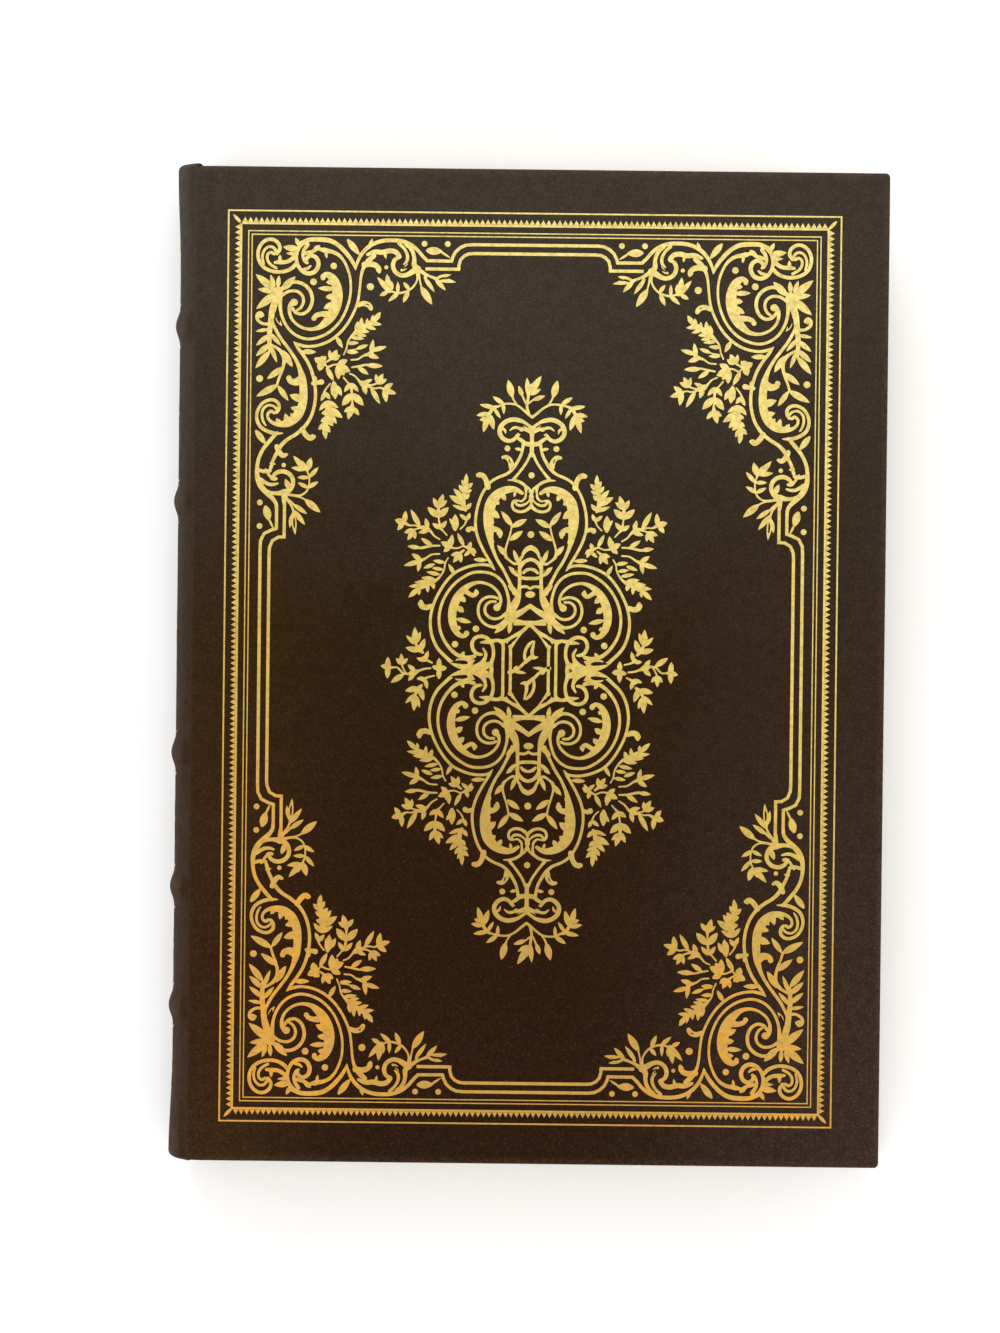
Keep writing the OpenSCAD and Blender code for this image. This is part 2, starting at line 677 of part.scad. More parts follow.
module front_gilt(thickness = foil) {
    translate([frame_cx, frame_cy, mid_z + leather_top])
        linear_extrude(height = thickness)
            children();
}

module front_gilt_frame() {
    color(gold)
        front_gilt()
            front_frame_outline();
}

module front_gilt_corners() {
    color(gold)
        front_gilt()
            difference() {
                offset(delta = 0.005)
                    four_ways()
                        translate([-shift_x, shift_y]) {
                            for (s = corner_strokes)
                                stroke(s);
                            for (l = concat(corner_leaves, fan_leaves))
                                leaf(l);
                            dots(corner_dots, 0.95);
                        }
                offset(delta = 0.05)
                    four_ways()
                        strap_quarter();
            }
}

module front_gilt_centrepiece() {
    color(gold)
        front_gilt()
            translate([-0.15, -0.25])
                offset(delta = 0.005) {
                    four_ways() {
                        for (s = centre_strokes)
                            stroke(s);
                        for (l = centre_leaves)
                            leaf(l);
                        dots(centre_dots, 0.95);
                    }
                    half_turn() {
                        for (s = turned_strokes)
                            stroke(s);
                        for (l = turned_leaves)
                            leaf(l);
                        dots([[0, 49.8], [0, 34.7], [-0.6, 19.3], [0.6, 19.3]], 0.95);
                    }
                }
}

module back_gilt_frame() {
    color(gold)
        translate([frame_cx, frame_cy, 0.05])
            linear_extrude(height = 0.1)
                back_frame_outline();
}

text_block();
spine_cloth();
spine_lining();
head_band();
tail_band();
front_flyleaf();
back_flyleaf();
spine_inlay();
raised_bands();
spine_leather();
spine_gilt_fillets();
front_board();
front_leather();
front_pastedown();
front_joint_leather();
front_gilt_frame();
front_gilt_corners();
front_gilt_centrepiece();
back_board();
back_leather();
back_pastedown();
back_joint_leather();
back_gilt_frame();
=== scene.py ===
# %% [markdown]
# An old book in dark leather lies on its back cover. The solids of its boards, pages and
# spine come from the part itself, in metres, with the fore edge at +X and the head at +Y.
# This lesson dresses them: soft leather, gold tooling, silk end bands and cut pages.
# Every new piece is made where it belongs, so its object stays at the origin.

# %% Load the solids of the book
import math

import bmesh
import bpy
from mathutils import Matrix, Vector, geometry, noise


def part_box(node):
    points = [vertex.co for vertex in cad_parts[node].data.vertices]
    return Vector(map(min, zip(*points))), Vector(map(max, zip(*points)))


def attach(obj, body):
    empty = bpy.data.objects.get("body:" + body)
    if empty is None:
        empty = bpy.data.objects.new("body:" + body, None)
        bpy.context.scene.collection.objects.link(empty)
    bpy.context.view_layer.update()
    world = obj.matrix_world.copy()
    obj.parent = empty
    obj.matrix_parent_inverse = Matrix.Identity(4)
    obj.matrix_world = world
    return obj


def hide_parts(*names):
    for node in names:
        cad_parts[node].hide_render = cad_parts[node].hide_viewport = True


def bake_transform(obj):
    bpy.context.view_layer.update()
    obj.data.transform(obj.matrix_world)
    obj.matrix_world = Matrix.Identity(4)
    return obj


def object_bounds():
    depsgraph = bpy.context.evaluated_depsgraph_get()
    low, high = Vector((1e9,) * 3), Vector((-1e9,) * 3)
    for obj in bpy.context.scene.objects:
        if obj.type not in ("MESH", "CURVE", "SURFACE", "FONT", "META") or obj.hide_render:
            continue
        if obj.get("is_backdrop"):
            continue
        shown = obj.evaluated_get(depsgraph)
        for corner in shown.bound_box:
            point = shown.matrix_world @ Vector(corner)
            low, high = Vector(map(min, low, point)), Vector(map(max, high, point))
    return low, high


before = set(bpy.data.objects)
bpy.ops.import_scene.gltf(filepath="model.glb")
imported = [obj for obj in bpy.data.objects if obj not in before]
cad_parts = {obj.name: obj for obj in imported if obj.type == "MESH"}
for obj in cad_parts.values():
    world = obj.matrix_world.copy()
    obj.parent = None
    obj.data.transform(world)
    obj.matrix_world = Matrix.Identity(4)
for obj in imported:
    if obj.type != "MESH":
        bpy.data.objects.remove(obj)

solids_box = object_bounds()
print("solids:", sorted(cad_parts))

# %% [markdown]
# The book is measured in millimetres here and made in metres. A few sizes rule all the
# others: the covers' edges, the spine's round and the places of its raised bands. They are
# read from the solids where that is possible, so the pieces sit on what carries them.

# %% Sizes that the pieces share
MM = 0.001
hide_thick = 1.0
rim_round = 1.15
low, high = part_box("front_leather")
edge_x, fore_x = low.x / MM, high.x / MM
half_h, top_z, under_z = high.y / MM, high.z / MM, low.z / MM
mid_z = top_z / 2
spine_low, spine_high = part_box("spine_leather")
tail_y, head_y = spine_low.y / MM, spine_high.y / MM
band_rise = 1.1
spine_radius = 35.5026
spine_x = spine_low.x / MM + band_rise + spine_radius
spine_half = math.radians(29.1655)
band_places = [half_h * 2 * share for share in (0.340, 0.163, -0.091, -0.2265, -0.347)]
page_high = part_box("text_block")[1]
page_fore, page_half = page_high.x / MM, page_high.y / MM
print("cover from", round(edge_x, 2), "to", round(fore_x, 2), "mm, top at", round(top_z, 2))
print("spine axis at", round(spine_x, 3), "bands at", [round(y, 1) for y in band_places])

# %% [markdown]
# The camera looks straight down on the front cover from two metres away through a long
# lens, so the book keeps its true outline. A big soft light by the head and a weaker one
# by the fore edge stand for the studio, and the pale floor stays almost white. The lens,
# place and turn were set until the cover's corners lay on the photograph's.

# %% Camera, floor and lights
scene = bpy.context.scene
scene.view_settings.view_transform = "Standard"
camera_data = bpy.data.cameras.new("camera")
camera_data.lens = 207.615
camera_data.sensor_width = 36
camera_data.clip_end = 50
camera = bpy.data.objects.new("camera", camera_data)
camera.location = (-0.00035, 0.03795, 2.0)
camera.rotation_euler = [math.radians(a) for a in (-1.102, 0.201, 0.656)]
scene.collection.objects.link(camera)
scene.camera = camera


def soft_light(name, place, size, power):
    """A square white light of a size in metres, turned towards the book."""
    data = bpy.data.lights.new(name, "AREA")
    data.size, data.energy = size, power
    light = bpy.data.objects.new(name, data)
    light.location = place
    light.rotation_euler = (-Vector(place)).to_track_quat("-Z", "Y").to_euler()
    scene.collection.objects.link(light)


soft_light("head_light", (-0.25, 1.15, 1.25), 0.9, 10)
soft_light("fore_edge_light", (1.2, -0.35, 1.1), 0.9, 4.5)
soft_light("spine_light", (-1.3, -0.5, 1.0), 0.9, 3)
world = bpy.data.worlds.new("studio")
scene.world = world
world.use_nodes = True
room = world.node_tree.nodes["Background"]
room.inputs["Color"].default_value = (1.0, 1.0, 1.0, 1)
room.inputs["Strength"].default_value = 0.95

# %% [markdown]
# A finish is a small net of shader nodes. Writing each maths node by hand hides the idea,
# so a value inside a finish is wrapped: plus, minus, times, powers and "less than" on it
# add the maths nodes. Colours are mixed, because a maths node would turn them grey.

# %% A value inside a finish
class Value:
    """One output inside a finish; arithmetic on it adds maths nodes."""

    def __init__(self, finish, socket):
        self.finish, self.socket = finish, socket

    def maths(self, operation, *values):
        return self.finish.add("ShaderNodeMath", {"operation": operation}, dict(enumerate(values)))

    def __add__(self, other):
        return self.maths("ADD", self, other)

    def __sub__(self, other):
        return self.maths("SUBTRACT", self, other)

    def __rsub__(self, other):
        return self.maths("SUBTRACT", other, self)

    def __mul__(self, other):
        return self.maths("MULTIPLY", self, other)

    def __pow__(self, other):
        return self.maths("POWER", self, other)

    def __lt__(self, other):
        return self.maths("LESS_THAN", self, other)

    __radd__, __rmul__ = __add__, __mul__

    def size(self):
        return self.maths("ABSOLUTE", self)

    def sine(self):
        return self.maths("SINE", self)

    def least(self, other):
        return self.maths("MINIMUM", self, other)

    def most(self, other):
        return self.maths("MAXIMUM", self, other)

    def ramp(self, start, end):
        """0 at start, 1 at end, smooth between."""
        settings = {"interpolation_type": "SMOOTHSTEP"}
        values = {"Value": self, "From Min": start, "From Max": end}
        return self.finish.add("ShaderNodeMapRange", settings, values, "Result")

print("arithmetic on a value adds nodes")

# %% [markdown]
# The finish starts from the place on the book in millimetres, so a grain of 1 mm is 1 mm on
# every piece, and nothing has to be unwrapped. Its helpers are the few kinds of pattern
# that a book needs: clouds, pebbles, streaks, mixed colours and relief.

# %% The finish itself
class Finish:
    """A material whose nodes are added one by one, with a principled shader at the end."""

    def __init__(self, name, **fixed):
        self.material = bpy.data.materials.new(name)
        self.material.use_nodes = True
        self.tree = self.material.node_tree
        self.shader = self.tree.nodes["Principled BSDF"]
        for socket, value in fixed.items():
            title = socket.replace("_", " ").title().replace("Ior", "IOR")
            self.shader.inputs[title].default_value = value
        place = self.add("ShaderNodeTexCoord", {}, {}, "Object")
        scaled = {"operation": "SCALE"}
        self.mm = self.add("ShaderNodeVectorMath", scaled, {"Vector": place, "Scale": 1 / MM})
        split = self.tree.nodes.new("ShaderNodeSeparateXYZ")
        self.tree.links.new(self.mm.socket, split.inputs[0])
        self.x, self.y, self.z = (Value(self, out) for out in split.outputs)

    def add(self, kind, settings, values, output=0):
        """A node of a kind: its settings first, then its values or links."""
        node = self.tree.nodes.new(kind)
        for setting, value in settings.items():
            if setting == "stops":
                while len(node.color_ramp.elements) < len(value):
                    node.color_ramp.elements.new(0.5)
                for stop, (place, colour) in zip(node.color_ramp.elements, value):
                    stop.position, stop.color = place, (*colour, 1)
            else:
                setattr(node, setting, value)
        for socket, value in values.items():
            if isinstance(value, Value):
                self.tree.links.new(value.socket, node.inputs[socket])
            elif value is not None:
                target = node.inputs[socket]
                opaque = isinstance(value, tuple) and len(value) < len(target.default_value)
                target.default_value = (*value, 1) if opaque else value
        return Value(self, node.outputs[output])

    def noise(self, size, detail=2, rough=0.5, warp=0.0, place=None):
        """Cloudy noise whose lumps are size mm across, from 0 to 1."""
        values = {"Vector": place or self.mm, "Scale": 1 / size, "Detail": detail,
                  "Roughness": rough, "Distortion": warp}
        return self.add("ShaderNodeTexNoise", {}, values, 0)

    def cells(self, size, feature="F1"):
        """Pebbles size mm across: the distance from each one's middle or edge."""
        values = {"Vector": self.mm, "Scale": 1 / size}
        return self.add("ShaderNodeTexVoronoi", {"feature": feature}, values, "Distance")

    def place(self, **scale):
        """The same place with x, y or z stretched: for fibres and streaks."""
        factor = tuple(scale.get(axis, 1.0) for axis in "xyz")
        stretch = {"operation": "MULTIPLY"}
        return self.add("ShaderNodeVectorMath", stretch, {0: self.mm, 1: factor})

    def mix(self, share, first, second):
        """A colour between two colours."""
        values = {0: share, 6: first, 7: second}
        return self.add("ShaderNodeMix", {"data_type": "RGBA"}, values, 2)

    def bump(self, height, depth, under=None):
        """A relief of depth mm, over an earlier relief."""
        values = {"Height": height, "Distance": depth * MM, "Strength": 1.0, "Normal": under}
        return self.add("ShaderNodeBump", {}, values)

    def feed(self, **links):
        """Lead values into the shader at the end; the material is ready."""
        names = {"colour": "Base Color", "roughness": "Roughness", "metallic": "Metallic",
                 "normal": "Normal"}
        for name, value in links.items():
            self.tree.links.new(value.socket, self.shader.inputs[names[name]])
        return self.material

print("a finish reads millimetres and ends in a principled shader")

# %% [markdown]
# Old calf is never one brown. It darkens where hands rub it and turns reddish or grey where
# it has dried, and it has a fine pebble grain with pores. Colour comes from a ramp along the
# cover, pushed about by clouds; its greyer, paler head end is a painted sheen of the head
# light, and the reddish part by the spine at the tail is brightened with painted sheen. The
# grain is relief, with painted shade in its creases and pores and small pale painted glints.
# Pale wear gathers on the edges and on the raised bands, where a book wears first.

# %% Where a shade lies between tail and head
def drift_of(finish):
    """Broad clouds from -0.5 to 0.5 that push each change of shade about."""
    return finish.noise(55, 3, 0.55, 0.4) - 0.5


def tail_to_head(finish, push):
    """0 beyond the tail and 1 beyond the head, pushed along by some mm."""
    return (finish.y + push).ramp(-135, 135)


drift_reach = 70
print("shades drift by up to", drift_reach / 2, "mm")

# %% Leather
hide = Finish("old_leather", specular_ior_level=0.03)
drift = drift_of(hide)
patch = hide.noise(9, 4, 0.62, 0.8) - 0.5
along = tail_to_head(hide, drift * drift_reach + patch * 26)
across = (hide.x + drift * 40).ramp(10, 100)
# The head end of this ramp, greyer and paler, is painted sheen of the head light; the rest is the
# leather's own tone.
long_shades_and_sheen = {"stops": [(0.0, (0.030, 0.0118, 0.0034)), (0.13, (0.0285, 0.0092, 0.0012)),
                         (0.5, (0.0285, 0.0132, 0.0026)), (0.87, (0.043, 0.0315, 0.0205)),
                         (1.0, (0.051, 0.0385, 0.0265))]}
shade = hide.add("ShaderNodeValToRGB", long_shades_and_sheen, {0: along})
spine_side = 1 - (hide.x + drift * 40).ramp(-95, -35)
# Reddish towards the tail by the spine: the leather's own tone, brightened with painted sheen.
reddish_and_sheen = hide.mix(spine_side * (1 - along) * 0.9, shade, (0.058, 0.0235, 0.0062))
grey = hide.mix(across * (1 - along) * 0.9, reddish_and_sheen, (0.056, 0.035, 0.026))
mottle = hide.noise(2.6, 5, 0.7).ramp(0.35, 0.75)
dark = hide.mix(mottle * (0.45 - along * 0.2), grey, (0.009, 0.005, 0.003))
pebble = hide.cells(0.95)
crease = hide.cells(1.25, "DISTANCE_TO_EDGE").ramp(0.0, 0.2)
pores = hide.noise(0.33, 2, 0.6)
from_axis, from_level = hide.x - spine_x, hide.z - mid_z
radius = (from_axis * from_axis + from_level * from_level) ** 0.5
on_spine = hide.x < edge_x - 4.2
on_band = radius.ramp(spine_radius + 0.45, spine_radius + band_rise) * on_spine
to_edge = (fore_x - hide.x).least(half_h - hide.y.size())
rim = 1 - to_edge.most((top_z - hide.z).least(hide.z)).ramp(0.0, 2.4)
cap = (1 - to_edge.ramp(-0.4, 1.6)) * on_spine
worn = (rim * 0.5).most(on_band * 0.5).most(cap * 0.4) * hide.noise(1.1, 5, 0.75).ramp(0.34, 0.70)
# Painted highlight: small pale glints on the grain, most towards the tail.
painted_glints = hide.noise(0.62, 3, 0.75).ramp(0.55, 0.74) * (0.10 + (1 - along) * 0.26)
# Painted shade: the grain's creases and pores are darkened.
painted_grain_shade = (1 - crease) * 0.2 + pores.ramp(0.62, 0.44) * 0.24
dark = hide.mix(painted_grain_shade * (1.25 - along * 0.5), dark, (0.004, 0.002, 0.001))
lighter = hide.mix(worn.most(painted_glints), dark, (0.105, 0.060, 0.033))
relief = hide.bump(crease * 0.6 + pebble * 0.3 + pores * 0.5, 0.16)
relief = hide.bump(hide.noise(14, 3, 0.5), 0.5, relief)
rough = 0.55 + mottle * 0.1 + worn * 0.12
leather = hide.feed(colour=lighter, roughness=rough, normal=relief)
print("leather:", len(hide.tree.nodes), "nodes")

# %% [markdown]
# A hot tool presses the leather round the gold into a hollow and closes its grain. The shade
# in that hollow is painted: this finish is nearly black, with the leather's change from tail
# to head and its painted sheen at the head, but darker and smoother.

# %% Painted shade of the leather that a hot tool has pressed
pressed = Finish("painted_rim_shade", specular_ior_level=0.05)
far = tail_to_head(pressed, drift_of(pressed) * drift_reach)
# Painted shade: nearly black at the tail, greyer at the head with the leather's painted sheen.
painted_shade = pressed.mix(far, (0.0095, 0.0038, 0.0012), (0.0215, 0.0155, 0.0105))
painted_rim_shade = pressed.feed(colour=painted_shade, roughness=0.5 + far * 0.06,
                               normal=pressed.bump(pressed.noise(0.6, 2, 0.5), 0.04))
print("pressed leather:", len(pressed.tree.nodes), "nodes")

# %% [markdown]
# Gold leaf on a book is thin and never quite whole. Its change from pale at the head to
# deeper, redder and orange at the tail is mostly a painted reflection of the studio light,
# with some change of its own tone. It is rubbed through in specks that show the leather.
# So gold and leather share one finish, and fine noise chooses between them.

# %% Gold leaf
leaf_gold = Finish("gold_leaf", specular_ior_level=0.3)
tone = leaf_gold.noise(48, 2, 0.5, 0.3) - 0.5
# Painted reflection of the studio light, with some real tone: paler towards the head, deeper
# towards the tail.
light = (leaf_gold.y + leaf_gold.x * 0.35 + tone * 80).ramp(-125, 120)
gold_shades_and_reflection = {"stops": [(0.0, (0.69, 0.345, 0.070)), (0.22, (0.60, 0.380, 0.082)),
                         (0.5, (0.71, 0.520, 0.122)), (1.0, (0.90, 0.735, 0.250))]}
bright = leaf_gold.add("ShaderNodeValToRGB", gold_shades_and_reflection, {0: light})
# Painted reflection: an orange cast on the gold towards the tail.
painted_orange_reflection = leaf_gold.noise(7, 3, 0.6, 0.5).ramp(0.42, 0.70) * (1 - light.ramp(0.0, 0.42))
bright = leaf_gold.mix(painted_orange_reflection, bright, (0.80, 0.35, 0.025))
sparkle = leaf_gold.noise(0.6, 2, 0.6).ramp(0.40, 0.66)
bright = leaf_gold.mix(sparkle * 0.3, bright, (0.52, 0.35, 0.06))
# The gold is darker in the lower middle of the cover.
lower_middle_darker = (1 - leaf_gold.x.size().ramp(15, 62)) * (1 - light.ramp(0.2, 0.62))
bright = leaf_gold.mix(lower_middle_darker * 0.42, bright, (0.36, 0.25, 0.062))
tarnish = leaf_gold.noise(1.5, 4, 0.75).ramp(0.36, 0.74)
bright = leaf_gold.mix(tarnish * (0.66 - light * 0.12), bright, (0.33, 0.20, 0.042))
handled = leaf_gold.noise(17, 3, 0.6).ramp(0.34, 0.7)
rubbed = leaf_gold.noise(0.42, 3, 0.7).ramp(0.60, 0.66) * handled
gold_colour = leaf_gold.mix(rubbed * 0.85, bright, (0.05, 0.03, 0.018))
gold_relief = leaf_gold.bump(leaf_gold.noise(0.9, 3, 0.6), 0.08)
gold = leaf_gold.feed(colour=gold_colour, metallic=(1 - rubbed) * 0.55,
                      roughness=0.38 + rubbed * 0.25 + tarnish * 0.1, normal=gold_relief)
print("gold leaf:", len(leaf_gold.tree.nodes), "nodes")

# %% [markdown]
# The spine is where a book is held, so little of its gold is left towards the joints. The
# distance from the middle of the spine, roughened by noise, decides where it is gone.

# %% Gold on the spine
spine_gold = Finish("rubbed_spine_gold", specular_ior_level=0.05)
from_middle = (spine_gold.z - mid_z).size() - (spine_gold.noise(1.1, 4, 0.75) - 0.5) * 7
gone = from_middle.ramp(5.2, 6.4).most(spine_gold.noise(0.42, 3, 0.7).ramp(0.58, 0.66) * 0.8)
sheen = spine_gold.mix(spine_gold.noise(5, 3, 0.6), (0.72, 0.46, 0.14), (0.52, 0.27, 0.06))
# Where the gold is gone the leather shows, greyer at the head with the same painted sheen as the
# leather.
lengthwise = tail_to_head(spine_gold, drift_of(spine_gold) * drift_reach)
bared = spine_gold.mix(lengthwise, (0.021, 0.0085, 0.0024), (0.034, 0.024, 0.016))
spine_gold_leaf = spine_gold.feed(colour=spine_gold.mix(gone, sheen, bared),
                                  metallic=(1 - gone) * 0.7, roughness=0.36 + gone * 0.25,
                                  normal=spine_gold.bump(spine_gold.noise(0.9, 3, 0.6), 0.06))
print("spine gold:", len(spine_gold.tree.nodes), "nodes")

# %% [markdown]
# Paper is seen in two ways: flat, as endpapers with brown age spots, and edge on, as
# hundreds of leaves pressed together. The gilt page edges are drawn as stretched noise,
# almost a line along each leaf, because real leaves never lie perfectly level; the dark
# lines in the gaps between leaves are painted shade. The folded back and its shoulders,
# seen only when a cover is open, are plain paper.

# %% Endpapers, and the gilt edges of the pages
rag = Finish("endpaper", specular_ior_level=0.2)
cloud = rag.noise(30, 6, 0.7).ramp(0.3, 0.75)
cream = rag.mix(cloud * 0.6, (0.72, 0.64, 0.47), (0.62, 0.52, 0.35))
near_edge = 1 - (half_h - rag.y.size()).least(fore_x - rag.x).ramp(3, 26)
cream = rag.mix(near_edge * rag.noise(11, 3, 0.6).ramp(0.2, 0.8) * 0.7, cream, (0.46, 0.33, 0.18))
spots = rag.noise(1.9, 3, 0.6).ramp(0.66, 0.74) * rag.noise(26, 2, 0.5).ramp(0.4, 0.62)
cream = rag.mix(spots * 0.8, cream, (0.33, 0.19, 0.08))
fibre = rag.noise(0.6, 5, 0.75, place=rag.place(x=0.3))
laid = (rag.y * 4.2).sine() * 0.5 + 0.5
cream = rag.mix((1 - fibre) * 0.3 + laid * 0.07, cream, (0.47, 0.36, 0.2))
endpaper = rag.feed(colour=cream, roughness=0.78 + cloud * 0.1,
                    normal=rag.bump(fibre + laid * 0.3, 0.05))

edges = Finish("page_edges", specular_ior_level=0.3)
leaves = edges.noise(0.16, 2, 0.55, place=edges.place(x=0.012, y=0.012))
sections = edges.noise(1.5, 1, 0.4, place=edges.place(x=0.01, y=0.01))
gap = (leaves * 0.7 + sections * 0.3).ramp(0.40, 0.60)
rubbed_edge = edges.noise(7, 4, 0.65, place=edges.place(z=2.0)).ramp(0.52, 0.72)
gilt_edge = edges.mix(rubbed_edge * 0.45, (0.70, 0.47, 0.15), (0.62, 0.52, 0.34))
# Painted shade: dark in the gaps between the leaves.
edge_colour = edges.mix(gap, (0.20, 0.11, 0.035), gilt_edge)
shoulder_x = spine_x - 24
folds = (edges.x < shoulder_x) * (edges.y.size() < page_half - 0.05)
# The plain paper of the folds has the same painted shade in the gaps.
plain_paper = edges.mix(gap, (0.42, 0.33, 0.20), (0.62, 0.54, 0.39))
page_edges = edges.feed(colour=edges.mix(folds, edge_colour, plain_paper),
                        metallic=gap * (1 - rubbed_edge * 0.8) * (1 - folds) * 0.55,
                        roughness=0.36 + rubbed_edge.most(folds) * 0.4,
                        normal=edges.bump(gap, 0.07))
print("papers:", len(rag.tree.nodes), "and", len(edges.tree.nodes), "nodes")

# %% [markdown]
# The hidden parts get their real finishes too: pressed grey board, the loose mull that
# lines the back, brown lining paper, the undyed leather strips that make the raised bands,
# and the two-coloured silk that is wound round the end bands.

# %% Board, mull, lining, band leather and silk
pulp = Finish("pressed_board", specular_ior_level=0.2)
flecks = pulp.noise(0.8, 5, 0.7).ramp(0.4, 0.7)
board_finish = pulp.feed(colour=pulp.mix(flecks, (0.22, 0.17, 0.11), (0.33, 0.27, 0.19)),
                         roughness=0.85 + flecks * 0.1, normal=pulp.bump(flecks, 0.06))

mull = Finish("mull_cloth", specular_ior_level=0.2)
threads = (mull.y * 5.2).sine().size() * (mull.z * 5.2).sine().size()
mull_finish = mull.feed(colour=mull.mix(threads, (0.62, 0.56, 0.42), (0.36, 0.29, 0.19)),
                        roughness=0.9 - threads * 0.05, normal=mull.bump(threads, 0.1))

kraft = Finish("lining_paper", specular_ior_level=0.2)
streaks = kraft.noise(0.9, 4, 0.65, place=kraft.place(y=0.12))
lining_finish = kraft.feed(colour=kraft.mix(streaks, (0.30, 0.19, 0.10), (0.46, 0.32, 0.18)),
                           roughness=0.8 + streaks * 0.1, normal=kraft.bump(streaks, 0.05))

undyed = Finish("undyed_band_leather", specular_ior_level=0.2)
skin = undyed.noise(0.8, 4, 0.7)
band_finish = undyed.feed(colour=undyed.mix(skin, (0.25, 0.15, 0.07), (0.47, 0.33, 0.18)),
                          roughness=0.85 - skin * 0.1, normal=undyed.bump(skin, 0.1))

silk = Finish("end_band_silk", specular_ior_level=0.45, sheen_weight=0.15)
turn = (silk.z - mid_z).maths("ARCTAN2", silk.z - mid_z, spine_x - silk.x)
stripe = (turn * 52).sine().ramp(-0.12, 0.12)
strand = (turn * 520).sine().size()
red_cream = silk.mix(stripe, (0.34, 0.045, 0.03), (0.66, 0.55, 0.33))
# Painted shade: the silk is darker in the grooves between strands.
silk_colour = silk.mix(strand * 0.35, silk.mix(0.6, red_cream, (0.08, 0.03, 0.02)), red_cream)
silk_finish = silk.feed(colour=silk_colour, roughness=0.5 - strand * 0.12,
                        normal=silk.bump(strand, 0.08))

solid_finishes = {
    "front_flyleaf": endpaper, "back_flyleaf": endpaper,
    "front_pastedown": endpaper, "back_pastedown": endpaper,
    "front_board": board_finish, "back_board": board_finish,
    "spine_cloth": mull_finish, "spine_lining": lining_finish,
    "spine_inlay": lining_finish, "raised_bands": band_finish,
}
for node_name, finish in solid_finishes.items():
    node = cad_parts[node_name]
    if not node.material_slots:
        node.data.materials.append(finish)
    for slot in node.material_slots:
        slot.material = finish
print("finishes given to", len(solid_finishes), "solids that stay as they are")

# %% [markdown]
# Every new piece is shaped with the same few hand movements: clear the selection, pick
# faces or edges by where they lie, then use an operator. These helpers do the picking.

# %% Helpers that pick and finish
def put_down():
    """Nothing selected, nothing being edited."""
    if bpy.context.mode != "OBJECT":
        bpy.ops.object.mode_set(mode="OBJECT")
    bpy.ops.object.select_all(action="DESELECT")


def take_up(piece):
    """Only this piece selected, and active."""
    put_down()
    piece.select_set(True)
    bpy.context.view_layer.objects.active = piece


def pick(piece, kind, test):
    """In edit mode, select the faces, edges or points whose middle, in mm, passes a test."""
    bpy.ops.object.mode_set(mode="EDIT")
    bpy.ops.mesh.select_mode(type={"faces": "FACE", "edges": "EDGE", "verts": "VERT"}[kind])
    bpy.ops.mesh.select_all(action="DESELECT")
    shell = bmesh.from_edit_mesh(piece.data)
    for part in getattr(shell, kind):
        points = [part.co] if kind == "verts" else [v.co for v in part.verts]
        middle = sum(points, Vector()) / len(points) / MM
        facing = part.normal if kind == "faces" else points
        if test(middle, facing):
            part.select_set(True)
    shell.select_flush_mode()
    bmesh.update_edit_mesh(piece.data)


def finish_piece(piece, finish, angle=40):
    """Smooth it and give it its finish."""
    take_up(piece)
    bpy.ops.object.shade_smooth_by_angle(angle=math.radians(angle))
    piece.data.materials.clear()
    piece.data.materials.append(finish)
    put_down()
    print(piece.name, len(piece.data.polygons), "faces")
    return piece

print("helpers that pick and finish are ready")

# %% [markdown]
# Where no ready form comes near the shape, a piece is made from points and faces. Modifiers
# are applied at once, so that each mesh is final before the next step measures it.

# %% Helpers for new pieces and copies
def edit_all(piece):
    """Edit this piece, with everything selected."""
    take_up(piece)
    bpy.ops.object.mode_set(mode="EDIT")
    bpy.ops.mesh.select_all(action="SELECT")


def piece_from(name, points, faces):
    """A piece from points in mm and the faces between them."""
    data = bpy.data.meshes.new(name)
    data.from_pydata([tuple(c * MM for c in p) for p in points], [], faces)
    data.validate()
    piece = bpy.data.objects.new(name, data)
    scene.collection.objects.link(piece)
    return piece


def face_outwards(piece):
    """Weld points that fall together and turn all normals outward."""
    edit_all(piece)
    bpy.ops.mesh.remove_doubles(threshold=0.001 * MM)
    bpy.ops.mesh.normals_make_consistent(inside=False)
    bpy.ops.object.mode_set(mode="OBJECT")


def apply_modifier(piece, kind, **settings):
    """Add a modifier and make its result the mesh."""
    take_up(piece)
    modifier = piece.modifiers.new(kind.lower(), kind)
    for setting, value in settings.items():
        setattr(modifier, setting, value)
    bpy.ops.object.modifier_apply(modifier=modifier.name)


def copied(piece, name):
    """A copy with a mesh of its own."""
    copy = piece.copy()
    copy.data = piece.data.copy()
    copy.name = copy.data.name = name
    scene.collection.objects.link(copy)
    return copy


def other_side(piece, name):
    """The same piece on the back cover: a copy mirrored in the middle plane."""
    copy = copied(piece, name)
    for point in copy.data.vertices:
        point.co.z = 2 * mid_z * MM - point.co.z
    copy.data.flip_normals()
    return copy

print("helpers for new pieces are ready")

# %% [markdown]
# A cover is a board wrapped in leather. The leather is drawn over the outer face, goes
# round three edges and is turned in underneath, where the endpaper later covers its inner
# edge. It is shaped as a soft-edged slab with a shallow window below, because the board
# itself fills the middle. The edge beside the spine stays sharp: the joint runs into it.

# %% Leather of the covers
flat_rim, turn_in, window_deep = 0.5, 13.4, 0.8
bare_by_spine = 1.0


def is_under_middle(middle, out):
    """The test that picks the underside, or the window that was inset in it."""
    return out.z < -0.999 and abs(middle.x) < 12 and abs(middle.y) < 1


def is_window_side(middle, place):
    """The test that picks the two window corners beside the spine."""
    beside_spine = middle.z < under_z + 0.01 and middle.x < edge_x + 16
    return beside_spine and 80 < abs(middle.y) < 114


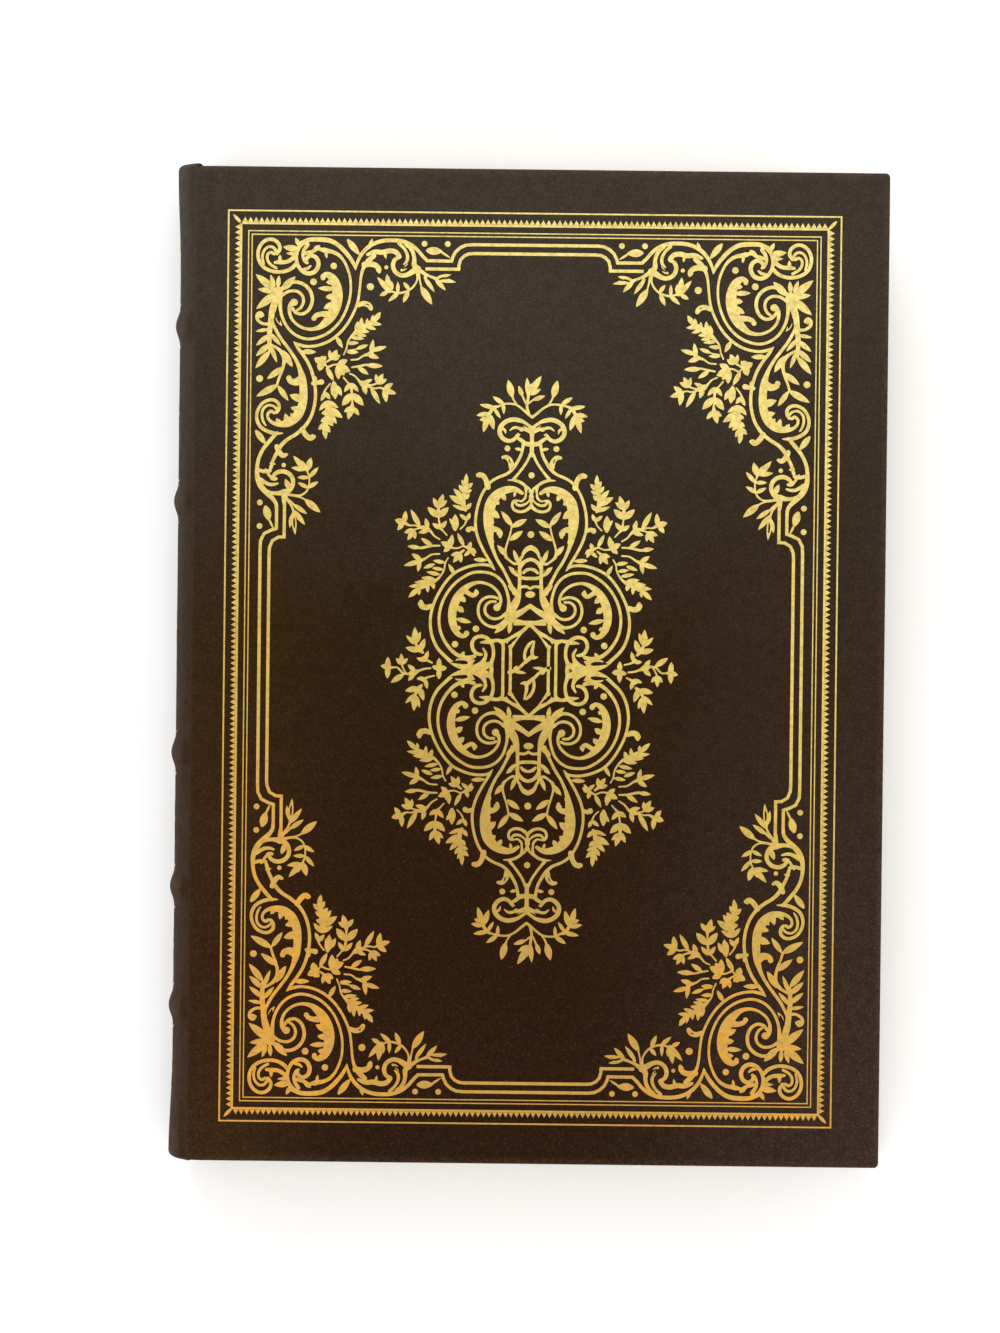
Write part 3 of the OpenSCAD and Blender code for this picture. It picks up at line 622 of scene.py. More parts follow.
def cover_leather(name):
    """Front leather: a slab with three soft edges and a shallow window underneath."""
    put_down()
    size = (fore_x - edge_x, 2 * half_h, top_z - under_z)
    middle = ((fore_x + edge_x) / 2, 0, (top_z + under_z) / 2)
    bpy.ops.mesh.primitive_cube_add(size=1, location=[c * MM for c in middle])
    piece = bpy.context.object
    piece.scale = [c * MM for c in size]
    piece.name = piece.data.name = name
    bpy.ops.object.transform_apply(location=True, rotation=True, scale=True)
    pick(piece, "edges", lambda m, ends: m.x > edge_x + 1)
    bpy.ops.mesh.bevel(offset=rim_round * MM, segments=6, profile=0.5, affect="EDGES")
    pick(piece, "faces", lambda m, out: abs(out.z) > 0.999)
    bpy.ops.mesh.inset(thickness=flat_rim * MM, use_individual=True)
    pick(piece, "faces", is_under_middle)
    bpy.ops.mesh.inset(thickness=turn_in * MM)
    pick(piece, "verts", is_window_side)
    to_spine = flat_rim + turn_in - bare_by_spine
    bpy.ops.transform.translate(value=(-to_spine * MM, 0, 0))
    pick(piece, "faces", is_under_middle)
    bpy.ops.mesh.extrude_region_move(
        TRANSFORM_OT_translate={"value": (0, 0, window_deep * MM)})
    bpy.ops.object.mode_set(mode="OBJECT")
    return piece


front = finish_piece(cover_leather("front_cover_leather"), leather)
back = other_side(front, "back_cover_leather")
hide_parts("front_leather")
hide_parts("back_leather")
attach(front, "front_cover")
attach(back, "back_cover")
print("leather is turned in by", flat_rim + turn_in, "mm")

# %% [markdown]
# The spine leather is one sheet over a stiff strip and five raised bands. Its outline along
# the spine, with a hump at each band and a rolled cap at head and tail, is spun round the
# spine's axis. Near the joints the humps and the flare die away, as the leather is pulled
# flat there, so those points are drawn back afterwards.

# %% Outline along the spine
hump_half = 4.4
flare_rise, flare_reach = 0.8, 26
cap_round = 1.5
roll_radius, roll_end, roll_slope = 33.5, half_h - 4, 0.6


def eased(share):
    """A share from 0 to 1 that starts and ends gently."""
    return share * share * (3 - 2 * share)


def hump(y):
    """Rise of the leather over the bands, in mm."""
    rise = 0
    for place in band_places:
        away = abs(y - place)
        if away < hump_half:
            wave = 0.5 + 0.5 * math.cos(math.pi * away / hump_half)
            rise = max(rise, band_rise * wave ** 0.8)
    return rise


def flare(y):
    """Rise towards the head and tail caps, in mm."""
    return flare_rise * eased(max(0.0, (abs(y) - (half_h - flare_reach)) / flare_reach))


def rolled_cap(y, up):
    """Half a circle over the cap at head or tail, from the outside inwards."""
    middle = spine_radius + flare_rise - cap_round
    turns = [math.pi * k / 8 for k in range(1, 9)]
    return [(middle + cap_round * math.cos(a), y + up * cap_round * math.sin(a)) for a in turns]


steps = 300
run = head_y - tail_y - 2 * cap_round
levels = [tail_y + cap_round + run * k / steps for k in range(steps + 1)]
inner = spine_radius - hide_thick
outline = [(spine_radius + flare(y) + hump(y), y) for y in levels]
outline += rolled_cap(head_y - cap_round, 1)
outline += [(roll_radius, roll_end), (inner, roll_end - roll_slope),
            (inner, roll_slope - roll_end), (roll_radius, -roll_end)]
outline += rolled_cap(tail_y + cap_round, -1)[::-1]
print("spine outline:", len(outline), "points, from", tail_y, "to", head_y)

# %% [markdown]
# The round could be lofted ring by ring, but Spin makes it in one step and exactly. A bent
# sheet is easiest to correct in its own terms, so each point is read back as a radius, a
# place along the spine and an angle before it is pulled flat towards the joint.

# %% Spin the outline, then pull the humps down near the joints
def on_round(radius_mm, y, angle):
    """A point round the spine's axis: angle 0 is the middle of the spine."""
    return (spine_x - radius_mm * math.cos(angle), y, mid_z + radius_mm * math.sin(angle))


def place_on_round(point):
    """The other way about: radius, y and angle of a mesh point."""
    x, y, z = point.co / MM
    return math.hypot(z - mid_z, spine_x - x), y, math.atan2(z - mid_z, spine_x - x)


def spun(name, ring, start, end, steps):
    """A closed outline of (radius, y) spun from one angle to another round the spine's axis."""
    piece = piece_from(name, [on_round(r, y, start) for r, y in ring], [tuple(range(len(ring)))])
    edit_all(piece)
    bpy.ops.mesh.spin(steps=steps, angle=end - start, center=(spine_x * MM, 0, mid_z * MM),
                      axis=(0, -1, 0), use_auto_merge=False)
    face_outwards(piece)
    return piece


pull_reach = math.radians(6.5)
pull_at_caps = 0.45
spine = spun("spine_leather_sheet", outline, -spine_half, spine_half, 56)
for point in spine.data.vertices:
    r, y, angle = place_on_round(point)
    if r > spine_radius - 0.3:
        pulled = 1 - eased(min(1.0, max(0.0, (spine_half - abs(angle)) / pull_reach)))
        r -= pulled * max(0.0, r - spine_radius)
        y -= math.copysign(pulled * max(0.0, abs(y) - half_h + 1) * pull_at_caps, y)
    point.co = Vector(on_round(r, y, angle)) * MM
finish_piece(spine, leather, 50)
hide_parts("spine_leather")
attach(spine, "book_block")
print("spine box:", [round(c / MM, 2) for c in spine.dimensions])

# %% [markdown]
# The joint is the strip of leather that folds when a cover opens. On this book no groove
# shows: the spine's round rolls over a shoulder and flows into the cover. The strip's
# outline is a smooth curve that leaves the spine along its round and meets the cover level.
# Beyond the pages, at head and tail, the leather is folded in, so there it is thicker.

# %% Curve and rows of a joint
joint_cuts = 16
thicker_at_spine, thicker_at_cover = 1.6, 3.5


def joint_curve():
    """The upper outline of the strip, from the spine to the cover."""
    lean = Vector((math.sin(spine_half), math.cos(spine_half)))
    start = Vector(on_round(spine_radius, 0, spine_half)).xz
    stop = Vector((edge_x, top_z - 0.02))
    by_spine, by_cover = start + lean * 1.5, stop - Vector((2.4, 0))
    curve = []
    for k in range(joint_cuts + 1):
        t = k / joint_cuts
        s = 1 - t
        curve.append(start * s ** 3 + by_spine * 3 * s * s * t
                     + by_cover * 3 * s * t * t + stop * t ** 3)
    return curve


def joint_rows():
    """Where the strip is measured from tail to head, closest at its rounded ends."""
    round_start = half_h - rim_round
    half = [page_half * k / 30 for k in range(30)]
    half += [page_half + (round_start - page_half) * k / 8 for k in range(8)]
    half += [round_start + rim_round * math.sin(math.pi * k / 16) for k in range(9)]
    return [-y for y in half[:0:-1]] + half

print("a joint has", len(joint_rows()), "rows of", len(joint_curve()), "points outside")

# %% [markdown]
# A bent plane with Solidify would do for the strip's middle, but not for its ends, which
# are rounded like the covers and thicker past the pages. So it is made row by row. It isn't
# given to any body.
# given to one body: it stays with the block at the spine and turns with the cover beyond.

# %% Strips of the joints
def joint_strip(name):
    """One bent strip of leather, made row by row from tail to head."""
    curve = joint_curve()
    inwards = []
    for k in range(joint_cuts + 1):
        run = (curve[min(k + 1, joint_cuts)] - curve[max(k - 1, 0)]).normalized()
        inwards.append(Vector((run.y, -run.x)))
    inwards[0] = Vector((math.cos(spine_half), -math.sin(spine_half)))
    points, faces = [], []
    for y in joint_rows():
        fold = eased(min(1.0, max(0.0, (abs(y) - page_half) / 2.4)))
        past = max(0.0, abs(y) - (half_h - rim_round)) / rim_round
        drop = rim_round * (1 - math.sqrt(max(0.0, 1 - past * past)))
        upper = [point + way * drop for point, way in zip(curve, inwards)]
        lower = []
        for k, (point, way) in enumerate(zip(curve, inwards)):
            more = thicker_at_spine + (thicker_at_cover - thicker_at_spine) * k / joint_cuts
            lower.append(point + way * (hide_thick + more * fold - drop))
        points += [(p.x, y, p.y) for p in upper + lower[::-1]]
    ring = 2 * (joint_cuts + 1)
    rows = len(points) // ring - 1
    for row in range(rows):
        for k in range(ring):
            a, b = row * ring + k, row * ring + (k + 1) % ring
            faces.append((a, b, b + ring, a + ring))
    faces.append(tuple(range(ring)))
    faces.append(tuple(rows * ring + k for k in range(ring)))
    piece = piece_from(name, points, faces)
    face_outwards(piece)
    return piece


front_joint = finish_piece(joint_strip("front_joint_strip"), leather, 60)
back_joint = other_side(front_joint, "back_joint_strip")
front_hinge, back_hinge = 37.0, 1.6
for strip, cover, height in ((front_joint, "front_cover", front_hinge),
                             (back_joint, "back_cover", back_hinge)):
    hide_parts(cover.split("_")[0] + "_joint_leather")
    height * MM
    height * MM
    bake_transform(strip)

# %% [markdown]
# The pages are one block of sewn gatherings. Its back is round, its shoulders flare under
# the covers and its fore edge is hollow, so the outline is drawn once and pulled out from
# tail to head. Each gathering stands a hair in or out at the fore edge.

# %% The block of pages
back_radius, corner_radius = 32.68, 32.7
flat_half = 14.0
hollow = 5
corner_x = spine_x - corner_radius * math.cos(spine_half)
corner_up = corner_radius * math.sin(spine_half)
round_back = [Vector(on_round(back_radius, 0, k * spine_half / 24)).xz for k in range(-24, 25)]
shoulder = [Vector((corner_x + x, mid_z + flat_half + (corner_up - flat_half) * share))
            for x, share in ((0.95, 0.67), (2.15, 0.26), (3.6, 0.0))]
fore_edge = []
for k in range(97):
    level = 1 - k / 48
    step = abs(noise.noise(Vector((0, 0, k * 0.61))) * 0.10)
    x = page_fore - hollow * (1 - level * level) - step
    fore_edge.append(Vector((x, mid_z + flat_half * level)))
below = [Vector((p.x, 2 * mid_z - p.y)) for p in reversed(shoulder)]
profile = round_back + shoulder + fore_edge + below
pages = piece_from("page_block", [(p.x, -page_half, p.y) for p in profile],
                   [tuple(range(len(profile)))])
edit_all(pages)
bpy.ops.mesh.extrude_region_move(
    TRANSFORM_OT_translate={"value": (0, 2 * page_half * MM, 0)})
face_outwards(pages)
finish_piece(pages, page_edges, 20)
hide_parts("text_block")
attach(pages, "book_block")

# %% [markdown]
# End bands are thin rolls sewn to the head and tail of the back, wound with silk in two
# colours. A small round outline is spun along the block's back in many short steps, and
# two rings in every four are drawn in a little, which gives the windings.

# %% Silk end bands
roll_middle, roll_half, roll_rise = 31.75, 1.2, 1.25
wound_reach, wound_steps = spine_half * 0.88, 240


def end_band(name, level, up):
    """One roll of silk on the end of the pages."""
    middle = level + up * roll_rise
    ring = []
    for k in range(14):
        a = 2 * math.pi * k / 14
        ring.append((roll_middle + roll_half * math.cos(a),
                     level + up * (roll_rise + roll_half * math.sin(a))))
    band = spun(name, ring, -wound_reach, wound_reach, wound_steps)
    for point in band.data.vertices:
        r, y, angle = place_on_round(point)
        winding = round((angle + wound_reach) / (2 * wound_reach) * wound_steps) % 4
        draw_in = 1.0 if winding in (0, 1) else 0.93
        r, y = roll_middle + (r - roll_middle) * draw_in, middle + (y - middle) * draw_in
        point.co = Vector(on_round(r, y, angle)) * MM
    return finish_piece(band, silk_finish, 60)


for name, level, up in (("head_band", page_half, 1), ("tail_band", -page_half, -1)):
    band = end_band(name + "_silk", level, up)
    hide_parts(name)
    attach(band, "book_block")

# %% [markdown]
# The tooling was pressed with brass tools and rolls: scrolls, leaves, dots and straps of a
# traditional pattern. Each stroke is a row of points with a width, read off as a maker
# would lay it out on the board, in millimetres from the middle of the gilt frame. A smooth
# curve goes through the points, and the stroke's two sides lie half its width away.

# %% Strokes, leaves and dots
stroke_cuts, leaf_cuts, dot_sides = 5, 8, 18


def smooth_path(points):
    """A smooth curve through rows of numbers."""
    rows = [Vector(p) for p in points]
    rows = [rows[0] * 2 - rows[1]] + rows + [rows[-1] * 2 - rows[-2]]
    path = []
    for p0, p1, p2, p3 in zip(rows, rows[1:], rows[2:], rows[3:]):
        for k in range(stroke_cuts):
            t = k / stroke_cuts
            path.append(0.5 * (2 * p1 + (p2 - p0) * t + (2 * p0 - 5 * p1 + 4 * p2 - p3) * t * t
                               + (3 * p1 - p0 - 3 * p2 + p3) * t ** 3))
    return path + [rows[-2]]


def stroke(points, ruled=False, press=0.85, spread=0.0):
    """The outline of a stroke of [x, y, width] rows: press thins it, spread widens it in mm.

    A ruled stroke is straight between its points and has square ends."""
    path = [Vector(p) for p in points] if ruled else smooth_path(points)
    left, right = [], []
    for k, row in enumerate(path):
        before, after = path[max(k - 1, 0)], path[min(k + 1, len(path) - 1)]
        run = (after.xy - before.xy).normalized()
        side = Vector((-run.y, run.x)) * max(row.z * press + spread, 0.05) / 2
        left.append(row.xy + side)
        right.append(row.xy - side)
        if k == 0:
            first_run, first_side = run, side
    tip, tail = [], []
    for k in () if ruled else (1, 2, 3):
        c, s = math.cos(math.pi * k / 4), math.sin(math.pi * k / 4)
        tip.append(path[-1].xy + side * c + run * side.length * s)
        tail.append(path[0].xy - first_side * c - first_run * first_side.length * s)
    return left + tip + right[::-1] + tail


def leaf(x0, y0, x1, y1, width, press=0.8, spread=0.0):
    """A pointed leaf from stalk to tip."""
    stalk, tip = Vector((x0, y0)), Vector((x1, y1))
    run = tip - stalk
    side = Vector((-run.y, run.x)).normalized() * (width * press + spread) / 2
    upper, lower = [], []
    for k in range(leaf_cuts + 1):
        t = k / leaf_cuts
        swell = math.sin(math.pi * t ** 0.85) ** 0.8 if 0 < k < leaf_cuts else 0
        if k == 0:
            swell = 0.24
        upper.append(stalk + run * t + side * swell)
        lower.append(stalk + run * t - side * swell)
    return upper + lower[:-1][::-1]


def dot(x, y, across, tall=None, press=0.88):
    """A round or oval dot from its middle and radii."""
    wide, high = across * press, (tall or across) * press
    turns = [2 * math.pi * k / dot_sides for k in range(dot_sides)]
    return [Vector((x + wide * math.cos(a), y + high * math.sin(a))) for a in turns]

print("a stroke has", len(stroke([[0, 0, 1], [2, 1, 1], [4, 0, 1]])), "points")

# %% [markdown]
# Strokes cross and join, so they can't each be filled alone. All outlines go into one
# triangle net, triangles inside any outline are kept, those inside a bare vein or eye are
# dropped, and the flat sheet that is left gets its thickness from Solidify.

# %% Gild: from outlines to a thin sheet of gold
frame_middle = Vector((0.85, -0.5))
gold_low, gold_high = top_z - 0.05, top_z + 0.06
# The dark sheet of painted shade round the gold lies this high.
rim_shade_high = top_z + 0.012
hair = 0.004


def inside(point, outline):
    """Whether a line from the point to the far right crosses the outline an odd time."""
    odd = False
    x, y = point
    for a, b in zip(outline, outline[1:] + outline[:1]):
        if (a.y > y) != (b.y > y) and x < a.x + (b.x - a.x) * (y - a.y) / (b.y - a.y):
            odd = not odd
    return odd


def gild(name, outlines, bare=(), height=gold_high):
    """One flat piece of gold, up to a height, that covers all outlines but the bare ones."""
    points, lines = [], []
    for outline in list(outlines) + list(bare):
        first, count = len(points), len(outline)
        points += outline
        lines += [(first + k, first + (k + 1) % count) for k in range(count)]
    spots, _, faces, *_ = geometry.delaunay_2d_cdt(points, lines, [], 0, 0.0005)
    boxes = []
    for sign, shapes in ((1, outlines), (-1, bare)):
        for shape in shapes:
            xs, ys = [p.x for p in shape], [p.y for p in shape]
            boxes.append((sign, min(xs), max(xs), min(ys), max(ys), shape))
    kept = []
    for face in faces:
        middle = sum((spots[i] for i in face), Vector((0, 0))) / 3
        cover = 0
        for sign, x0, x1, y0, y1, shape in boxes:
            if sign * cover > 0 or not (x0 < middle.x < x1 and y0 < middle.y < y1):
                continue
            if inside(middle, shape):
                cover = sign
        if cover > 0:
            kept.append(tuple(face))
    used = sorted({i for face in kept for i in face})
    index = {i: k for k, i in enumerate(used)}
    piece = piece_from(name, [(spots[i].x, spots[i].y, height) for i in used],
                       [tuple(index[i] for i in face) for face in kept])
    edit_all(piece)
    bpy.ops.mesh.normals_make_consistent(inside=False)
    bpy.ops.object.mode_set(mode="OBJECT")
    if piece.data.polygons[0].normal.z < 0:
        piece.data.flip_normals()
    apply_modifier(piece, "SOLIDIFY", thickness=(height - gold_low) * MM, offset=-1)
    return piece

print("gold lies from", round(gold_low, 2), "to", round(gold_high, 2), "mm")

# %% [markdown]
# A binder turns one brass tool about to fill all four corners. Here one piece is mirrored,
# which changes only signs, so the copies match exactly. Copies that meet in one piece lie a
# hair apart in height, or their surfaces would show through each other in patches.

# %% Mirror, join and lay on the cover
def mirrored(piece, name, across=1, up=1, middle=(0, 0)):
    """A copy mirrored left to right, head to tail, or both, about a middle point in mm."""
    copy = copied(piece, name)
    cx, cy = middle[0] * MM, middle[1] * MM
    for point in copy.data.vertices:
        point.co.x = cx + (point.co.x - cx) * across
        point.co.y = cy + (point.co.y - cy) * up
    if across * up < 0:
        copy.data.flip_normals()
    return copy


def joined(pieces, name):
    """Several pieces made one, under a new name."""
    put_down()
    for piece in pieces:
        piece.select_set(True)
    bpy.context.view_layer.objects.active = pieces[0]
    bpy.ops.object.join()
    pieces[0].name = pieces[0].data.name = name
    put_down()
    return pieces[0]


def four_ways(piece, name, middle=(0, 0)):
    """A quarter and its three mirror images as one piece, each copy a hair higher."""
    parts = [piece]
    for level, (across, up) in enumerate(((-1, 1), (1, -1), (-1, -1)), 1):
        part = mirrored(piece, name + "_copy", across, up, middle)
        for point in part.data.vertices:
            point.co.z += level * hair * MM
        parts.append(part)
    return joined(parts, name)


def lay_on_cover(piece, body="front_cover", finish=gold):
    """Shift it to the gilt frame's middle, give it its finish and let it ride a cover."""
    take_up(piece)
    bpy.ops.transform.translate(value=(frame_middle.x * MM, frame_middle.y * MM, 0))
    bpy.ops.object.transform_apply(location=True, rotation=True, scale=True)
    finish_piece(piece, finish, 30)
    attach(piece, body)

print("joined copies lie", hair, "mm apart")

# %% [markdown]
# The border is rolled and ruled: a fillet outside, then a row of small teeth on a line,
# then two thin fillets and two straps that step inwards beside each corner piece. A fillet
# is a plane whose rim is kept after an inset; one tooth is drawn and repeated by an Array.

# %% Fillets, teeth and straps of the border
half_x, half_y = 78.1, 116.2
tooth_pitch, tooth_foot = 1.41, 2.95
strap_width, back_strap_width = 0.95, 0.9


def fillet(name, inwards, width):
    """A thin frame of gold, some mm inside the gilt frame's edge."""
    put_down()
    across, tall = 2 * (half_x - inwards) + width, 2 * (half_y - inwards) + width
    bpy.ops.mesh.primitive_plane_add(size=1, location=(0, 0, gold_high * MM))
    piece = bpy.context.object
    piece.scale = (across * MM, tall * MM, 1)
    piece.name = piece.data.name = name
    bpy.ops.object.transform_apply(location=True, rotation=True, scale=True)
    pick(piece, "faces", lambda m, out: True)
    bpy.ops.mesh.inset(thickness=width * MM)
    bpy.ops.mesh.delete(type="FACE")
    bpy.ops.object.mode_set(mode="OBJECT")
    apply_modifier(piece, "SOLIDIFY", thickness=(gold_high - gold_low) * MM, offset=-1)
    return piece


def tooth_row(name, length, level):
    """Teeth that point up, along X at a height, centred."""
    count = round(length / tooth_pitch)
    pitch = length / count
    right = [(0, 1.3), (0.3, 0.75), (0.55, 0.35), (0.62, 0)]
    curve = [(-x, y) for x, y in right[:0:-1]] + right
    tooth = gild(name, [[Vector((x - length / 2 + pitch / 2, y + level)) for x, y in curve]])
    apply_modifier(tooth, "ARRAY", count=count, use_relative_offset=False,
                   use_constant_offset=True, constant_offset_displace=(pitch * MM, 0, 0))
    return tooth


def quarter_turned(piece):
    """The piece turned a quarter about the gilt frame's middle."""
    for point in piece.data.vertices:
        x, y, z = point.co
        point.co = (y, -x, z)
    return piece


def strap(corners, width):
    """A ruled strap of one width through its corners."""
    return stroke([(x, y, width) for x, y in corners], ruled=True)

print("teeth stand about", tooth_pitch, "mm apart")

# %% [markdown]
# The border is put together from the outside inwards. The straps are drawn for one quarter
# and mirrored like the corner pieces, round which they step.

# %% Border of the front cover
fillets = [fillet("outer_fillet", 0, 0.4), fillet("tooth_line", 3.2, 0.6),
           fillet("thin_fillet_one", 5.15, 0.29), fillet("thin_fillet_two", 6.05, 0.29)]
top_teeth = tooth_row("teeth", 2 * (half_x - 2.9) - 1.2, half_y - tooth_foot)
side_teeth = tooth_row("side_teeth", 2 * (half_y - 2.9) - 1.2, half_x - tooth_foot)
side_teeth = quarter_turned(side_teeth)
teeth = [top_teeth, mirrored(top_teeth, "tail_teeth", 1, -1),
         side_teeth, mirrored(side_teeth, "other_side_teeth", -1, 1)]
strap_corners = (
    [(-69.2, -0.2), (-69.2, 30), (-69.1, 32.1), (-68.2, 33.9), (-66.4, 34.8), (-65.1, 35.2)],
    [(-65.1, 34.9), (-65.1, 41.2)],
    [(0.2, 108.1), (-16, 108.1), (-17.6, 107.95), (-19, 107.3), (-20.2, 106.2),
     (-20.9, 104.8), (-21.2, 103.6)],
    [(-20.9, 103.85), (-27.6, 103.9)],
    [(-66.9, -0.2), (-66.9, 29), (-66.8, 30.4), (-66.1, 32.1), (-64.6, 33.0), (-62.8, 33.1)],
    [(-63.1, 32.7), (-63.1, 42.6)],
    [(0.2, 105.85), (-15.5, 105.85), (-16.8, 105.75), (-18.0, 105.2), (-18.9, 104.2),
     (-19.3, 102.8), (-19.3, 101.6)],
    [(-19.0, 101.8), (-27.8, 101.8)],
)
mitre_leaf = leaf(-76.9, 115.1, -74.6, 112.7, 1.1)
straps = gild("straps", [strap(corners, strap_width) for corners in strap_corners] + [mitre_leaf])
border = joined(fillets + teeth + [four_ways(straps, "straps")], "front_border_tooling")
lay_on_cover(border, "front_cover")
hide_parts("front_gilt_frame")
print("border triangles:", sum(len(p.vertices) - 2 for p in border.data.polygons))

# %% [markdown]
# The back cover is plainer: two fillets and one strap with stepped corners. It lies on the
# floor, so its gold is laid from below and stays a hair above the plane it rests on.

# %% Border of the back cover
back_gold_low, floor_gap = 0.025, 0.06
back_corners = (
    [(-66.9, 0.2), (-66.9, 93.4), (-65.7, 95.9), (-63.4, 97.0), (-60.1, 97.0)],
    [(-60.5, 96.6), (-60.5, 99.4), (-59.4, 102.1), (-57.0, 103.3), (0.2, 103.3)],
)
back_strap = gild("back_strap", [strap(corners, back_strap_width) for corners in back_corners])
back_strap = four_ways(back_strap, "back_strap")
back_fillets = [fillet("back_outer_fillet", 0, 0.65), fillet("back_inner_fillet", 5.15, 0.5)]
back_border = joined(back_fillets + [back_strap], "back_border_lines")
for point in back_border.data.vertices:
    point.co.z = (gold_high - point.co.z / MM + back_gold_low) * MM
back_border.data.flip_normals()
for point in back.data.vertices:
    point.co.z = max(point.co.z, floor_gap * MM)
lay_on_cover(back_border, "back_cover")
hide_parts("back_gilt_frame")
print("back border from", round(min(v.co.z for v in back_border.data.vertices) / MM, 3), "mm")

# %% [markdown]
# A gold fillet runs over the spine on either side of every raised band, as it does on the
# real binding. Each one is a flat rectangle spun round the spine's axis on the leather.

# %% Fillets on the spine
from_band, line_half, gold_half = 5.4, 0.32, 0.05
spine_lines = []
for place in band_places:
    for y in (place - from_band, place + from_band):
        level = spine_radius + flare(y) + hump(y)
        under, over = level - gold_half, level + gold_half
        ring = [(under, y - line_half), (over, y - line_half),
                (over, y + line_half), (under, y + line_half)]
        spine_lines.append(spun("spine_line", ring, -spine_half * 0.5, spine_half * 0.5, 24))
spine_fillets = joined(spine_lines, "spine_fillet_lines")
finish_piece(spine_fillets, spine_gold_leaf, 30)
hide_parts("spine_gilt_fillets")
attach(spine_fillets, "book_block")

# %% [markdown]
# Between the bands a small flower tool was pressed once in each panel. It is drawn flat,
# four leaves and four dots round a middle, then wrapped on the spine: across becomes the
# angle round the axis, and the leaf's thickness becomes height above the leather.

# %% Flower tools between the bands
flower = []
for k in range(4):
    a = math.pi * k / 2
    out_x, out_y = math.cos(a), math.sin(a)
    side_x, side_y = math.cos(a + math.pi / 4), math.sin(a + math.pi / 4)
    flower.append(leaf(0.7 * out_x, 0.7 * out_y, 4.3 * out_x, 4.3 * out_y, 2.0, press=1.0))
    flower.append(leaf(0.9 * side_x, 0.9 * side_y, 2.7 * side_x, 2.7 * side_y, 0.9, press=1.0))
    flower.append(dot(3.3 * side_x, 3.3 * side_y, 0.32))
flower.append(dot(0, 0, 0.5))
flat_flower = gild("flat_flower", flower)
panel_ends = [tail_y + 5] + sorted(band_places) + [head_y - 5]
flowers = []
for start, stop in zip(panel_ends, panel_ends[1:]):
    copy = mirrored(flat_flower, "spine_flower")
    for point in copy.data.vertices:
        sideways, lengthways, rise = point.co / MM
        y = (start + stop) / 2 + lengthways
        level = spine_radius + flare(y) + hump(y) + rise - top_z
        point.co = Vector(on_round(level, y, sideways / spine_radius)) * MM
    copy.data.flip_normals()
    flowers.append(copy)
bpy.data.objects.remove(flat_flower)
spine_flowers = joined(flowers, "spine_flower_tools")
face_outwards(spine_flowers)
finish_piece(spine_flowers, spine_gold_leaf, 30)
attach(spine_flowers, "book_block")

# %% [markdown]
# One corner is laid out for the head and spine side and mirrored to the other three. Stems
# are rows of [x, y, width]; a leaf is its stalk, its tip and its width; a dot is its middle
# and its radii. Veins and eyes are strokes left bare inside the gold.

